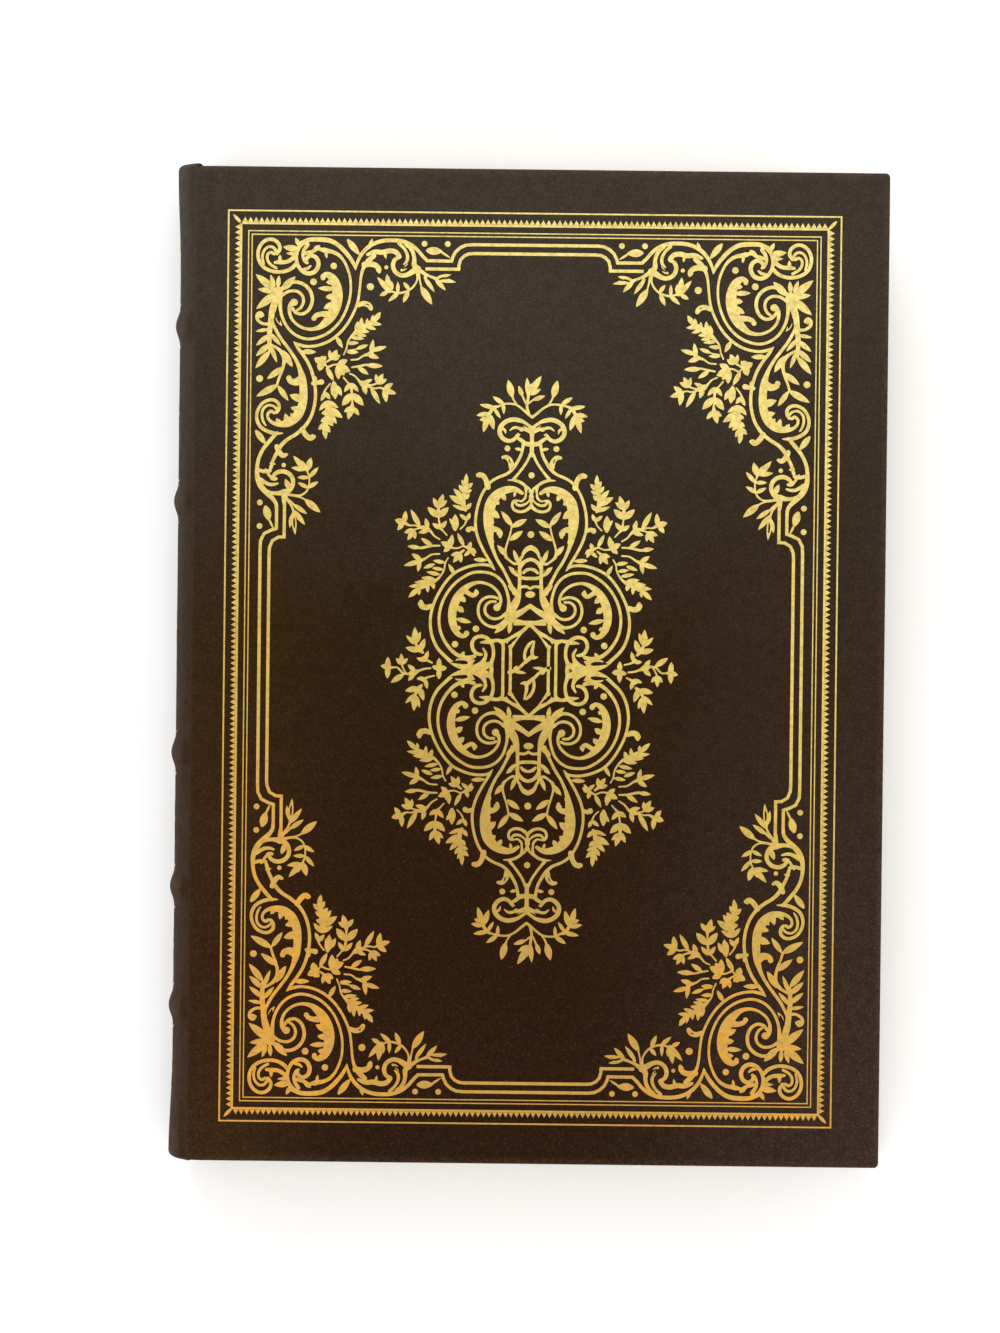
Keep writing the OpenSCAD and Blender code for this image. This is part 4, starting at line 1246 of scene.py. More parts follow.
# %% Stems of one corner, head and spine side
CORNER_STEMS = [
 [[-65.7,105.2,.9], [-65,106.4,1], [-65.3,107.8,1], [-66.6,108.8,1], [-68.2,108.8,1],
  [-69.7,107.7,1], [-70.5,105.8,1], [-70.3,103.6,1], [-69.2,101.9,1], [-67.3,100.9,1],
  [-65.2,100.6,1], [-63.3,100.9,1], [-61.8,101.7,1.1], [-60.9,102.6,1.1]],
 [[-65.9,105.9,.9], [-66.8,106.9,.8], [-68.1,106.9,.75], [-69.1,105.8,.75], [-69.4,104.2,.75],
  [-69,102.6,.6]],
 [[-66.4,105.2,.9], [-67.3,105.6,.8], [-68.1,105,.8], [-68.1,103.6,.8], [-67.2,102.4,.8],
  [-65.8,101.6,.8]],
 [[-66.2,103,.8], [-64.9,103.1,1.2], [-63.3,103.2,1.1], [-61.9,103.9,1.2], [-60.9,104.9,1.3]],
 [[-57.9,108.6,1.2], [-59.3,107.9,1.2], [-60.4,106.4,1.1], [-60.8,104.6,1], [-60.4,102.5,1],
  [-59.2,100.9,1.1], [-57.5,100.3,1.2], [-55.9,100.9,1.2], [-55.1,102.5,1.2], [-55.5,104.1,1.2],
  [-56.8,104.9,1.1], [-57.9,104.4,1.1], [-58.3,103.6,1]],
 [[-57.9,107.6,1.1], [-58.8,106.3,1], [-59.1,104.9,.9], [-58.7,103.5,.8], [-58,103,.9]],
 [[-58.9,101.4,.7], [-57.9,101.6,.9], [-57.1,102.2,.6]],
 [[-59.6,108.1,1], [-57.4,108.9,1.2], [-54.8,109,1.3], [-52.2,108.7,1.3], [-50.1,107.6,1.2],
  [-48.4,106,1.2], [-47,104.3,1.1], [-46.1,102.8,.9], [-45.6,101.4,.3]],
 [[-58.4,105.4,1], [-56.8,105.9,1.2], [-55.2,106.9,1.5], [-53.4,106.2,1.4], [-51.6,105.9,1.1],
  [-50,105.1,1], [-48.7,103.7,.8], [-47.7,101.7,.75], [-47,99.4,.7], [-46.8,96.6,.7],
  [-47.1,93.8,.7], [-48,90.9,.75], [-49.5,88.1,.75], [-51.8,85.7,.8], [-54.5,84.2,.8],
  [-57.6,83.6,.8], [-60.4,84.4,.8], [-62.5,86.1,.8], [-63.9,88.4,.85], [-64.6,90.7,.9],
  [-64.8,93.2,1.2], [-64.9,95.2,1.6]],
 [[-64.6,96.2,1], [-63,97.5,.95], [-60.8,98.1,.95], [-58.6,97.4,1], [-57,95.6,1], [-56.6,93.3,1],
  [-57.4,91.1,.95], [-59,90,.9], [-60.7,90.3,.9], [-61.6,91.4,.9]],
 [[-64.5,94.5,.9], [-62.8,95.6,.85], [-60.8,95.8,.85], [-59.3,94.9,.85], [-58.8,93.3,.85],
  [-59.4,91.7,.8], [-60.4,90.9,.7]],
 [[-61.3,93.1,1.7], [-62.2,91.9,1.3], [-62.3,90.1,.9], [-61.4,88.2,.8], [-59.5,86.7,.8],
  [-57.2,86.1,.9], [-55,86.5,1.3], [-53.4,87.6,2], [-51.9,89.3,2.7], [-50.7,91.9,3.1],
  [-50.2,94.8,3], [-50.5,97.3,2.6], [-51.5,99.2,2.2], [-52.9,100.1,1.5], [-54,99.6,1.3]],
 [[-53,90,1.8], [-54.4,90,1.4], [-55.7,89.5,1.3], [-56.1,88.7,1]],
 [[-45.6,101.4,.3], [-45.2,103.2,.8], [-44.3,105.1,1], [-43,106.7,1.1], [-41.2,108,1.1],
  [-38.9,108.8,1.1], [-36.4,109,1.1], [-33.9,108.8,1.1], [-31.6,107.9,1.1], [-29.9,106.6,1],
  [-28.6,105.1,.95], [-27.4,103.9,.95]],
 [[-40.9,105,1.2], [-42.4,103.7,1.4], [-43.6,101.9,1], [-44.2,99.7,.75], [-44.5,96.7,.7],
  [-44.9,93.6,.75], [-45.8,90.9,.75], [-47.3,88,.75], [-49.3,85.4,.8], [-51.9,83.3,.8],
  [-54.7,82.1,.8], [-57.5,81.7,.8], [-59.4,82,.9], [-61,82.7,.4]],
 [[-42.6,105.3,.9], [-40.8,106,1.3], [-38.8,105.9,1.4], [-37,106.3,1.4], [-35.4,106,1.4],
  [-34.5,104.9,1.3]],
 [[-34.4,104.7,.9], [-35.6,104.1,1.1], [-36.1,102.6,1.2], [-35.5,101,1.2], [-34,100.1,1.2],
  [-32.4,100.3,1.3], [-31,101.1,1.6], [-29.8,101.8,1.9]],
 [[-34.6,108.2,1], [-33.3,106.9,.8], [-32.5,105.4,.9], [-32.5,103.9,.9], [-33.3,102.9,.5]],
 [[-33.9,101.4,.7], [-33,101.9,.9], [-32.4,102.9,.5]],
 [[-32.9,108.1,1], [-31.3,106.4,1.1], [-30.7,104.6,1.1], [-30.7,102.9,1.4], [-30,101.8,1.7]],
 [[-43.4,102.7,1.7], [-42,102.9,1.6], [-40.6,102.6,1.5], [-39.7,101.8,1.3], [-39.6,101,1.1]],
 [[-45,92.3,1.2], [-43.6,92.8,1.4], [-42.3,92.5,1.5], [-41.6,91.6,1.3]],
 [[-65.3,95.6,2.8], [-66,93.2,2], [-66.6,91.2,1.9], [-67,89,1.6], [-67.2,87,1.4], [-67.4,85,1.4],
  [-67.4,82.6,1.2], [-67.3,80.6,.8]],
 [[-67.5,87.3,.9], [-69.1,87.4,.8], [-70.4,88.3,.9], [-70.6,89.5,1], [-69.8,90.1,1.1],
  [-69.2,89.5,1]],
 [[-67,82,.8], [-65.6,81.3,.8], [-64.4,80.3,1.1], [-63.6,78.8,1.2], [-63.7,77,.9], [-64.2,75.2,.8],
  [-64.9,73.4,.7], [-65.4,71.6,.7]],
 [[-66.6,90.3,1.2], [-66.7,88,.9], [-65.8,85.9,.9], [-64.7,84,.9], [-63.2,82,.9], [-61.7,80,.9],
  [-60.4,77.9,1], [-59.5,75.8,1.3], [-58.9,73.6,2], [-58.6,71,2.2], [-58.6,68.6,2.3],
  [-59,66.2,2.4], [-60.2,63.9,2.6], [-62.2,62.3,2.3], [-64.3,61.8,1.6], [-66.2,62.1,1],
  [-67.4,63.1,.8], [-67.6,64.4,.8], [-66.8,65.1,.9], [-66,64.7,.9]],
 [[-61.2,82.9,.3], [-60.1,81.3,.9], [-58.6,79.3,.9], [-57.3,77.2,.9], [-56.4,75,.9],
  [-55.8,72.6,.9], [-55.5,70,.9], [-55.6,67.6,.9], [-56.1,65.2,.9], [-57,63,.9], [-58.5,60.9,1],
  [-60.5,59.2,1], [-62.6,57.9,1], [-64.2,56.3,1.1], [-65.3,54.3,1], [-66.2,52.4,.9],
  [-66.7,50.6,1]],
 [[-59.2,73.2,2.4], [-60.6,72.6,2], [-62,72.9,1.5], [-62.5,73.8,1]],
 [[-65.4,64.8,.9], [-64.8,65.7,.95], [-64.9,67,1], [-66,67.9,.95], [-67.5,67.9,.9], [-69.1,67,.9],
  [-70.2,65.2,.9], [-70.4,63.2,.95], [-69.6,61.3,1], [-67.9,60.1,1], [-65.8,59.5,1],
  [-63.8,59.5,.4]],
 [[-65.2,65.5,.8], [-66.2,66.4,.7], [-67.6,66.6,.7], [-68.8,65.6,.75], [-69.1,64,.75],
  [-68.7,62.4,.7], [-68.1,61.5,.5]],
 [[-65.2,59.6,.9], [-66.9,57.7,1.1], [-68.7,55.4,1], [-69.8,53,1], [-70.2,50.4,1.1], [-70,48,1.4],
  [-69.1,45.9,1.6], [-67.7,44.3,1.4], [-66.2,42.9,1.2], [-65.3,41.6,1], [-65.1,40,.95]],
 [[-69.6,50,1], [-68.2,49.7,1], [-66.9,49.9,1]],
 [[-69.4,47.6,1.4], [-67.8,46.7,1.1], [-66.2,46.4,.9], [-64.9,46.7,.6]],
 [[-68,50.2,.7], [-67,48.7,.8], [-66,47.8,.9], [-65.3,47.9,.9]],
 [[-68.6,45,1.2], [-66.6,44.3,1], [-64.8,44.2,1.2], [-63.2,44.5,1.8]],
 [[-66.4,47.9,.9], [-65.5,49.2,1.1], [-64,49.8,1.2], [-62.3,49.4,1.2], [-61.2,48.2,1.2],
  [-61,46.7,1.2], [-61.7,45.3,1.4], [-63,44.2,1.7], [-63.3,42.6,1.1], [-63.1,41.2,.95]],
 [[-58.8,60.6,1.4], [-57.8,59.1,1.5], [-56.7,58.3,1.4], [-55.8,58.7,1.2]],
 [[-65.2,56.1,1.4], [-64.6,54.7,1.5], [-63.6,53.8,1.3], [-62.7,54.1,.9]],
 [[-56.2,72.3,1.1], [-55,72.5,1.2], [-54,72.7,1.5]],
 [[-29.8,101.9,1.2], [-28.4,100.8,1], [-26.8,100,.7], [-25.2,99.4,.9]],
 [[-29.6,101,.8], [-29.2,98.8,.5], [-28.7,96.8,.5]],
 [[-29.9,101.2,.8], [-29.9,99,.55], [-30.9,97.2,.6], [-32.4,96.1,.6], [-34.2,95.6,.65],
  [-35.8,95.8,.6], [-37.2,96.4,.8]],
 [[-28.3,101,.7], [-27.6,99.5,.6]],
 [[-62.6,44,.9], [-60.6,43.7,.6], [-58.9,43.8,.55], [-57.5,44.8,.55], [-56.9,46.4,.5],
  [-56.9,48.4,.5], [-57.5,50.2,.6]],
 [[-61.4,43.7,.6], [-59.2,43.3,.5], [-57.6,42.5,.5]],
 [[-62.8,43.2,1], [-61.4,41.2,.7], [-60.7,39.4,.6]],
 [[-61.8,42.4,.6], [-60.6,41.2,.6]],
]
CORNER_LEAVES = [
 [-60,106.4,-64.2,107,1.9], [-60.2,105.2,-63.4,105.4,1.1], [-59.9,107.2,-61.1,109.4,1.3],
 [-65,103,-64.9,105,1.1],
 [-47.8,109.1,-44.6,105.1,1.9], [-42.2,106.8,-41.4,109.4,1.2], [-53.3,106,-53,104.2,.9],
 [-38.3,106.2,-37.9,104.2,.9],
 [-66.2,96,-71.1,100,2.2], [-66.2,96.6,-67.3,99.9,1.3], [-65.4,96.6,-65.1,99.7,1.4],
 [-64.4,96,-60.9,99.5,2.1], [-66,95.6,-70.5,96.2,1.7], [-65.6,95.4,-70.9,91.1,2.3],
 [-51.2,98.2,-53.1,98.1,1.5], [-51,96.4,-55.2,96.6,1.5], [-50.8,94.6,-53.2,94.3,1.7],
 [-50.8,92.8,-53.7,91.4,1.9],
 [-67.4,86,-71,85.4,1.1], [-67.4,84.6,-70.8,81.8,1.5], [-67.4,82.2,-70.8,79.1,1.7],
 [-67.3,80.4,-70.9,76,1.9], [-67.2,85,-64.4,81.8,1.3], [-67.2,82,-65.4,77.5,1.3],
 [-65.8,89,-64.2,86.8,1], [-64,80.6,-61.4,76.4,1.9], [-63.9,76.3,-67.9,73.3,1.8],
 [-65.2,71.8,-70.6,68.8,2], [-65.1,71.6,-62.4,67.8,1.6],
 [-58.4,68,-62.1,69.3,2.2], [-58.6,65.2,-61.8,66.1,1.9], [-60.2,62.4,-61.8,64.7,1.6],
 [-62.4,61.8,-63.2,64.6,1.7], [-64.2,61.6,-65.5,63.3,1.4],
 [-70.7,60.2,-68,56.6,1.8], [-67,51.9,-65.4,51.6,.9], [-68,41,-66.9,37,2.3],
 [-67.1,37.8,-65.8,35,.7], [-27.7,106.5,-23.4,106.3,2.3], [-24.2,106.4,-21.4,104.6,.7],
 [-50.4,84.3,-48.7,81.4,1.4], [-59.2,80.4,-55.4,80.3,1.5], [-55.8,74.2,-55.2,73,.8],
 [-61.8,45.2,-63,47.9,1.6],
 [-28.2,99.8,-25.4,95.9,1.3], [-28.9,97.2,-26,92.7,2.1],
 [-31.8,96.4,-33.4,98.4,1.2], [-32,96.2,-33.4,93.1,1.4], [-34.8,95.4,-34.8,98.5,1.1],
 [-34.4,95.8,-37.2,93.4,1.3],
 [-36.6,95.6,-40.1,99.6,1.6], [-37,95.6,-37.6,100.4,1.9], [-37.2,96,-39.4,94.8,1.3],
 [-36.4,96.2,-36.4,98.6,1.2],
 [-25.6,99.5,-20,98.5,1.5], [-25.4,99.4,-22.6,96.4,1.4], [-24.8,99.7,-21.2,100.4,1.1],
 [-57.4,45.6,-54.5,47.3,1.3], [-57,45.6,-59.8,47,1.2], [-57,48.2,-54.5,51,1.3],
 [-56.9,48.3,-59.9,48.3,1.2], [-57.9,42.7,-53.9,39.4,2],
 [-57.6,50,-61,53.8,1.7], [-57.4,50,-56.4,53.4,1.9], [-57.8,50.2,-61.5,50.8,1.4],
 [-57.9,50.2,-58.8,52.6,1.4],
 [-60.8,41.4,-57.3,39,1.4], [-60.8,40,-57.8,36.2,1.5], [-60.9,39.8,-60.3,33.6,1.5],
 [-61.1,39,-61.7,35.4,1.3],
]
print("corner:", len(CORNER_STEMS), "stems and", len(CORNER_LEAVES), "leaves")

# %% [markdown]
# A fan of small sprays reaches from each corner into the field. Its leaves stand in pairs,
# but no two pairs are alike, so they are laid one by one and not by a loop.

# %% Fan of sprays beside the corner
SPRAY_STEMS = [
 [[-48.4,79.7,.45], [-47.7,81.4,.45], [-47.4,83,.5], [-46.4,84.5,.7], [-45.2,85.5,1.5],
  [-44.2,86.3,2.2], [-42.9,87.2,1.3], [-41.2,88.2,1.3], [-39.6,89.5,1]],
 [[-46.5,78.4,.5], [-44.8,78.6,.5], [-43.4,79.5,.6], [-41.6,80.1,1.2], [-41.1,81,1]],
 [[-46.3,76.5,.5], [-44.6,76.8,.6], [-42.6,77.2,.6], [-41.2,77,.6]],
 [[-46.8,74.9,.45], [-45.5,74.3,.5], [-44.6,73.3,.6], [-43.6,72.2,1.2], [-42.6,72,1.8],
  [-41.8,71.9,.9], [-40.6,72.2,.5], [-39.4,72.8,.8]],
 [[-41.6,71.4,.5], [-40.2,71.2,.5], [-39,71.4,.5], [-37.8,70.9,.9]],
 [[-48.4,73.9,.5], [-47.2,72.5,.5], [-46.5,71.8,.9], [-46.2,69.6,.6], [-46.1,67.6,.6],
  [-46.1,65.6,1.7]],
 [[-51.8,72.3,.45], [-52.8,71,.5], [-53.4,69.8,.6]],
 [[-52.5,67.4,1], [-52,65.6,2.2], [-52.2,64,1.9], [-52.8,62.2,1.5], [-53.1,60.6,1.3]],
 [[-50,77.2,.6], [-51,77.1,.5], [-52.3,76.5,.6]],
 [[-53.9,77.6,.9], [-52.9,76.9,.5], [-52,75.6,.5]],
 [[-53.2,77.6,.5], [-52.2,78.2,.6], [-51.1,79,1]],
 [[-47.3,80.8,.4], [-45.4,81.1,.4], [-44.6,81.5,.5]],
]
SPRAY_LEAVES = [
 [-47.6,80.4,-44.6,80.4,1.2], [-47.6,82.6,-44.6,82.8,1.2], [-46.6,84.1,-43.2,83.8,1.1],
 [-45.2,81.2,-42.2,82.3,1.2], [-45.4,85.1,-42.6,84.5,1.2], [-44.6,86,-41.9,85.6,1.3],
 [-44.2,86,-43.9,89.3,1.4], [-45.2,85.4,-44.9,88.3,1.5],
 [-43.2,87.3,-40.2,86.2,1.3], [-42.2,87.9,-38.8,87.5,1.3], [-42.6,87.2,-42.5,89.1,1],
 [-41.3,87.9,-41,90,1.1], [-40.8,88.3,-39.1,90.7,1.5],
 [-42.4,79.9,-39.4,78.9,1.5], [-41.5,80,-40.9,83.7,1.4], [-41.4,80.8,-37.5,81.9,1.4],
 [-42.6,77.1,-38.4,76.9,1.5], [-44.8,76.6,-42,74.7,1.4],
 [-43.6,72.4,-41,73.5,1.2], [-43.4,72.2,-42.5,69.6,1.5], [-44.4,72.8,-42.6,72.2,1.4],
 [-39.6,72.4,-40.2,74.9,1.3], [-39.6,72.6,-38.3,75,1.4], [-39.8,72.4,-37.3,73.6,1.5],
 [-38.2,70.8,-35.8,72.6,1.6], [-38.2,70.9,-34.9,69.9,1.6], [-38,71.2,-37.4,67.7,1.7],
 [-41.4,71.4,-39,67.2,1.5],
 [-46.6,72.5,-48.2,70.2,1.3], [-46.4,72.5,-44.5,70.3,1.3], [-46.3,69.8,-48.7,66.7,2.1],
 [-46,69.8,-43.2,66.8,2.1], [-46.1,66.4,-48.2,65.1,1.4], [-46,66.4,-44.3,64.3,1.4],
 [-46.1,67,-47.1,63.2,1.9],
 [-52.9,70.2,-54.1,67.8,1.3], [-53.1,70.1,-51.7,68.3,1.3], [-52.4,67.9,-54.5,65.4,1.4],
 [-52.4,67.9,-49.6,66.1,1.3], [-52.2,66.2,-48.5,63.6,2], [-52.2,64.8,-50,62.1,1.7],
 [-52.2,65.2,-53.9,64.6,1.4], [-52.4,63.6,-54.1,62.5,1.4], [-52.4,63.2,-50.9,61.5,1.5],
 [-52.8,62.2,-54.7,60.5,1.5], [-52.8,61.8,-51.7,59.8,1.4], [-53.2,61.2,-52.7,58.1,1.5],
 [-50.9,72.9,-50.4,68.3,2.2], [-50.2,71.9,-48.8,69.2,1.5], [-51,71.2,-51.2,69.2,1.2],
 [-49.9,77.2,-47.4,78.4,1.8], [-49.8,76.9,-46.7,75.4,2.2], [-49.7,77.3,-49.7,73.4,2.1],
 [-49.4,76.4,-48.2,74.4,1.8],
 [-51.6,78.4,-52.1,80.9,1.3], [-51.4,78.4,-50.1,81,1.7], [-51.2,78.4,-49.3,79.6,1.6],
 [-53.8,77.6,-55.9,78.8,2], [-53.9,77.8,-52.9,79.3,1.3], [-54,77.8,-54.6,75.5,2.1],
 [-54.6,78.6,-53.2,79.2,1], [-52.8,76.4,-50.9,73,1.5],
]
print("fan:", len(SPRAY_STEMS), "stems and", len(SPRAY_LEAVES), "leaves")

# %% [markdown]
# Dots fill the gaps of a pattern, as a binder's smallest tool does. The large leaves have
# ribs where the brass is grooved and no gold is pressed: those strokes are left bare.

# %% Dots of the corner, and the veins left bare
CORNER_DOTS = [[-51.2,102.3,.95], [-56.3,98.2,1], [-41.8,97.1,1.05], [-37.8,102.1,.6],
[-69.8,73.4,1], [-63.4,51.4,.65], [-69.4,41.8,.85], [-69.4,35.8,.85], [-28.1,108.2,.85],
[-22.2,108.2,.85],
 [-61.1,92.9,1], [-53.9,99.2,.7], [-56.1,88.9,.75], [-62.3,73.6,.8], [-54,72.7,.8], [-69.8,89.4,.7],
 [-39.8,101.5,.75], [-41.8,92,.75], [-56.1,58.7,.75]]
CORNER_VEINS = [
 [[-65.3,101.9,.35], [-63.6,102,.6], [-62.2,102.7,.65], [-61.4,103.5,.3]],
 [[-58,106.3,.5], [-57,106.8,1.1], [-55.9,107.9,.3]],
 [[-54.4,107.3,.9], [-52.6,107.4,1], [-50.4,106.7,.3]],
 [[-40.9,106.9,.4], [-39,107.5,.9], [-37.3,107.5,1]],
 [[-35.6,107.7,.3], [-34.6,106.7,1], [-33.6,105.6,.8]],
 [[-32.5,107,.4], [-31.7,105.4,.7], [-31.7,103.7,.7], [-32.5,102.3,.6], [-33.6,101.8,.4]],
 [[-24.2,99.2,.5], [-23,99.5,.6], [-22,99.4,.3]],
 [[-65.8,89.9,.9], [-65.2,88.6,.8], [-64.9,87.8,.5]],
 [[-68.9,48.9,.4], [-67.9,48.1,.9], [-66.8,47.2,.9]],
 [[-68.4,46.4,.3], [-66.6,45.4,.55], [-65,45.2,.7], [-63.9,45.8,.5]],
 [[-60.6,37.8,.4], [-60.6,36.6,.6], [-60.5,35.6,.4]],
 [[-42.9,92.6,.2], [-42.4,92.6,.35], [-42.2,92.4,.2]],
]
print(len(CORNER_DOTS), "dots and", len(CORNER_VEINS), "veins in a corner")

# %% [markdown]
# The centrepiece grows from a small panel in the middle. Only the quarter towards the head
# and the spine is drawn. The sprays on its axes and the leaf in the panel aren't mirrored
# on the book but turned half round, so they are kept apart and drawn once.

# %% Scrolls of the centrepiece, one quarter
MIDDLE_STEMS = [
 [[-.15,61,2], [-1.4,62.1,1.6], [-2.9,63.2,1.4], [-4.8,63.7,1.35], [-6.7,63.2,1.35],
  [-8.1,61.9,1.35], [-8.4,60.2,1.35], [-7.5,58.8,1.3], [-6.1,58.2,1.2], [-4.8,58.6,1.1],
  [-3.9,59.6,1], [-2.8,60.9,.9], [-3.6,61.5,.9], [-4.8,61.6,.8], [-5.8,60.9,.4]],
 [[-8,61.6,.8], [-7.1,60.9,.8], [-6.9,60.1,.3]],
 [[-.15,61,1.6], [-.15,58.8,1.2], [-.15,56.8,1.3], [-.15,54.6,1.2]],
 [[-.5,60.6,1.2], [-2,61.2,1], [-3.2,61.4,.9]],
 [[-3.9,59,.9], [-3,58.5,1.1], [-1.8,57.6,1.3], [-.6,57.4,1.4]],
 [[-2.2,57.9,1.2], [-2.5,56.4,.9], [-2.9,54.7,.9], [-3.8,52.9,.95], [-5,51.1,1], [-6.5,49.8,.9],
  [-8.6,48.9,.85], [-10.4,47.8,.85], [-11.9,46,.85], [-13.1,43.7,.85], [-13.9,41,.85],
  [-14.3,38.2,.85], [-14.2,35.6,.85], [-13.5,33,.85], [-12.4,30.6,.85], [-11.1,28.3,.85],
  [-10,26.5,.85], [-9.3,25.3,.3]],
 [[-.5,55,.8], [-1.3,53.1,.8], [-2.4,51.4,.8], [-3.6,49.8,.8], [-4.6,48.6,1]],
 [[-6.2,48.2,.3], [-4.6,48.2,.8], [-3,47.7,.9], [-1.6,46.7,.9], [-.6,45.7,1], [-.15,44.6,.9],
  [-.15,42.4,.8]],
 [[-1.8,46.9,.8], [-1.5,45.4,.75], [-1.7,43.8,.75], [-2.6,42.9,.6], [-3.3,43,.5]],
 [[-.3,44.4,.8], [-.9,42.9,.8], [-2.2,41.9,.8], [-3.6,41.9,.8], [-4.3,42.7,.6]],
 [[-3.5,43,.6], [-4.5,42.9,.9], [-5,42,.85], [-4.6,40.8,.85], [-3.3,40.2,.85], [-1.8,40.4,.9],
  [-.6,41.2,1], [-.15,42,.9]],
 [[-2.5,44.9,1], [-4,45.8,1.5], [-5.6,45.9,2], [-7.4,45.4,2.4], [-9.1,44.2,2.9], [-10.4,42.3,3.2],
  [-10.9,39.8,3.3], [-11,37.2,3], [-10.7,34.6,2.4], [-10.3,32.2,1.5], [-9.6,30,1], [-8.5,27.6,.9],
  [-7.1,25.4,.9], [-6,23.3,.9], [-5,21.2,1.1], [-4.1,19.4,1.5]],
 [[-10.6,35.6,2.2], [-9,35.6,1.6], [-7.9,34.8,1.3], [-8,33.8,1]],
 [[-2.9,27.2,1], [-4.2,26.9,.8], [-5.6,27.8,.7], [-6.5,28.8,1], [-6.6,30.4,.7], [-6.1,32.3,.6],
  [-5.5,34.3,.55], [-5.1,36.2,.55], [-5.1,37.2,.5]],
 [[-2.7,28.6,.6], [-2.9,26.6,1], [-2.9,24.4,1.1], [-2.9,22.2,1], [-3,20.2,1.2], [-3.3,18.4,1.8],
  [-4,16.6,2.4], [-5.2,14.8,2.4], [-6,13.2,1.6]],
 [[-.15,31.1,1.5], [-1.2,30.6,1.4], [-2,29.6,1], [-2.4,28.4,.6]],
 [[-.15,28.1,1], [-1.3,27.7,1.1], [-2.3,26.8,1.1], [-2.8,25.8,1]],
 [[-.15,25.6,.8], [-1.2,25.3,1], [-2,24.6,.8]],
 [[-.15,23.2,1], [-1.4,23.2,1], [-2.6,23.4,1]],
 [[-.15,20.6,.8], [-1.2,21.1,.8], [-2.6,21,.9]],
 [[-8.5,15.9,1.9], [-7.7,16.9,1], [-7.8,18.5,.85], [-8.6,19.9,.85], [-10.1,21.2,.85],
  [-11.9,21.9,.85], [-13.8,22,1], [-15.8,21.2,1.5], [-17.5,19.8,2.1], [-18.9,17.8,2.5],
  [-19.8,15.3,2.6], [-20,12.8,2.4], [-19.5,10.6,2.2], [-18.5,8.9,1.6], [-17.2,8.3,1.3],
  [-16.2,8.8,1.3]],
 [[-16.8,19.9,1.6], [-15.8,19.2,1.3], [-14.7,18.7,1.3], [-13.9,19.3,1.3], [-14,20,.8]],
 [[-8.4,18,.8], [-9.6,18.4,.85], [-11.2,18.3,.85], [-12.6,17.4,.85], [-13.3,15.9,.85],
  [-13.3,14,.85], [-12.5,12.3,.85], [-11,11.1,.85], [-9.1,10.7,1], [-7.6,11.2,1.4],
  [-6.2,12.2,1.8]],
 [[-9,17.2,.8], [-10.4,17.1,.8], [-11.5,16.1,.85], [-11.6,14.5,.85], [-10.7,13.3,.85],
  [-9.2,12.8,.85], [-7.7,13.1,.85], [-6.4,14.1,1]],
 [[-5.6,14.8,1.4], [-5.6,17.2,.9], [-6,19.4,.85], [-6.8,21.5,.85], [-8.2,23.2,.85],
  [-10.1,24.3,.85], [-12.4,24.7,.85], [-14.9,24.5,.85], [-17.2,23.4,.85], [-19.4,21.7,.85],
  [-21.2,19.5,.85], [-22.6,16.7,.85], [-23.3,13.6,.85], [-23.2,10.6,.85], [-22.4,8,.9],
  [-20.9,5.6,1], [-19.2,3.9,1.1], [-17.4,3,1.2], [-15.6,2.8,1.3], [-14.2,3.2,1.1]],
 [[-9.2,25.2,.3], [-10.4,26.3,.8], [-12.6,26.6,.85], [-15,26.3,.85], [-17.4,25.5,.85],
  [-19.6,24.3,.85], [-21.6,22.2,.85], [-23.4,19.4,.85], [-24.8,16.3,.85], [-25.5,13.2,.85],
  [-25.5,10.4,.9], [-24.9,7.7,.9], [-23.6,5.1,.95], [-21.6,3,1], [-19.4,1.2,1.2], [-16.6,.3,1.8],
  [-13.8,.0,2.2], [-11.4,-.2,2.2]],
 [[-25.4,15.9,1.4], [-26.6,15.5,1.6], [-27.8,15.9,1.7], [-28,17,1.1]],
 [[-14.4,35.4,1], [-15.4,35.8,1.3], [-16.2,35.3,1.3]],
 [[-11.3,46.4,1.8], [-11.7,48,1.5], [-12.6,49.3,1.6], [-13.8,49.4,1.4]],
 [[-5.2,51.4,1.8], [-5.6,53,1.6], [-6.5,54,1.4], [-7.5,54,1]],
 [[-18.4,1.9,1.6], [-15.8,1.6,2.2], [-13.6,1.4,2], [-11.6,2.4,1.4], [-11.3,3.8,1], [-12,5.2,.6]],
 [[-12.4,3.6,.9], [-13.8,4,1.1], [-14.7,5.2,1.1], [-14.8,6.7,1.1], [-14,7.9,1.1], [-12.5,8.3,1.1],
  [-11,7.8,1.1], [-9.9,6.6,1.1], [-9.4,5,1], [-9.4,3.2,1], [-9.9,1.4,1.2], [-9.8,-.2,1.2]],
 [[-9.9,7,1.4], [-11.2,6.9,1.2], [-12.7,6.7,.4]],
 [[-10.2,1.2,1.6], [-11,1,1.6], [-12.4,1.6,2]],
 [[-9.7,7.1,1.2], [-8.4,7.3,1], [-6.9,7.1,1.2], [-5.4,7.6,1.3], [-3.8,8.6,1.2], [-2.2,9.6,1.1],
  [-.9,10.8,1], [-.15,11.4,1]],
 [[-8.2,7.3,1], [-7.3,6.8,1], [-6.9,6,1], [-6.9,3,.9], [-6.9,-.25,.9]],
 [[-5.9,7.1,.8], [-5.1,5.4,.9], [-5,3,.9], [-5,-.25,.9]],
 [[-5.1,5.2,.9], [-3.9,7.2,.9], [-2.6,9.1,1], [-1.1,10.6,1]],
 [[-4,11.6,1], [-2,11.7,1.1], [-.15,11.8,1.1]],
 [[-.15,16.2,1.3], [-1.4,15.3,1.4], [-2.8,14.4,1.8], [-4.4,13.6,2.4], [-5.4,12.2,2.2]],
 [[-3.9,12.4,1.2], [-1.8,12.1,.8], [-.15,12.1,.7]],
]
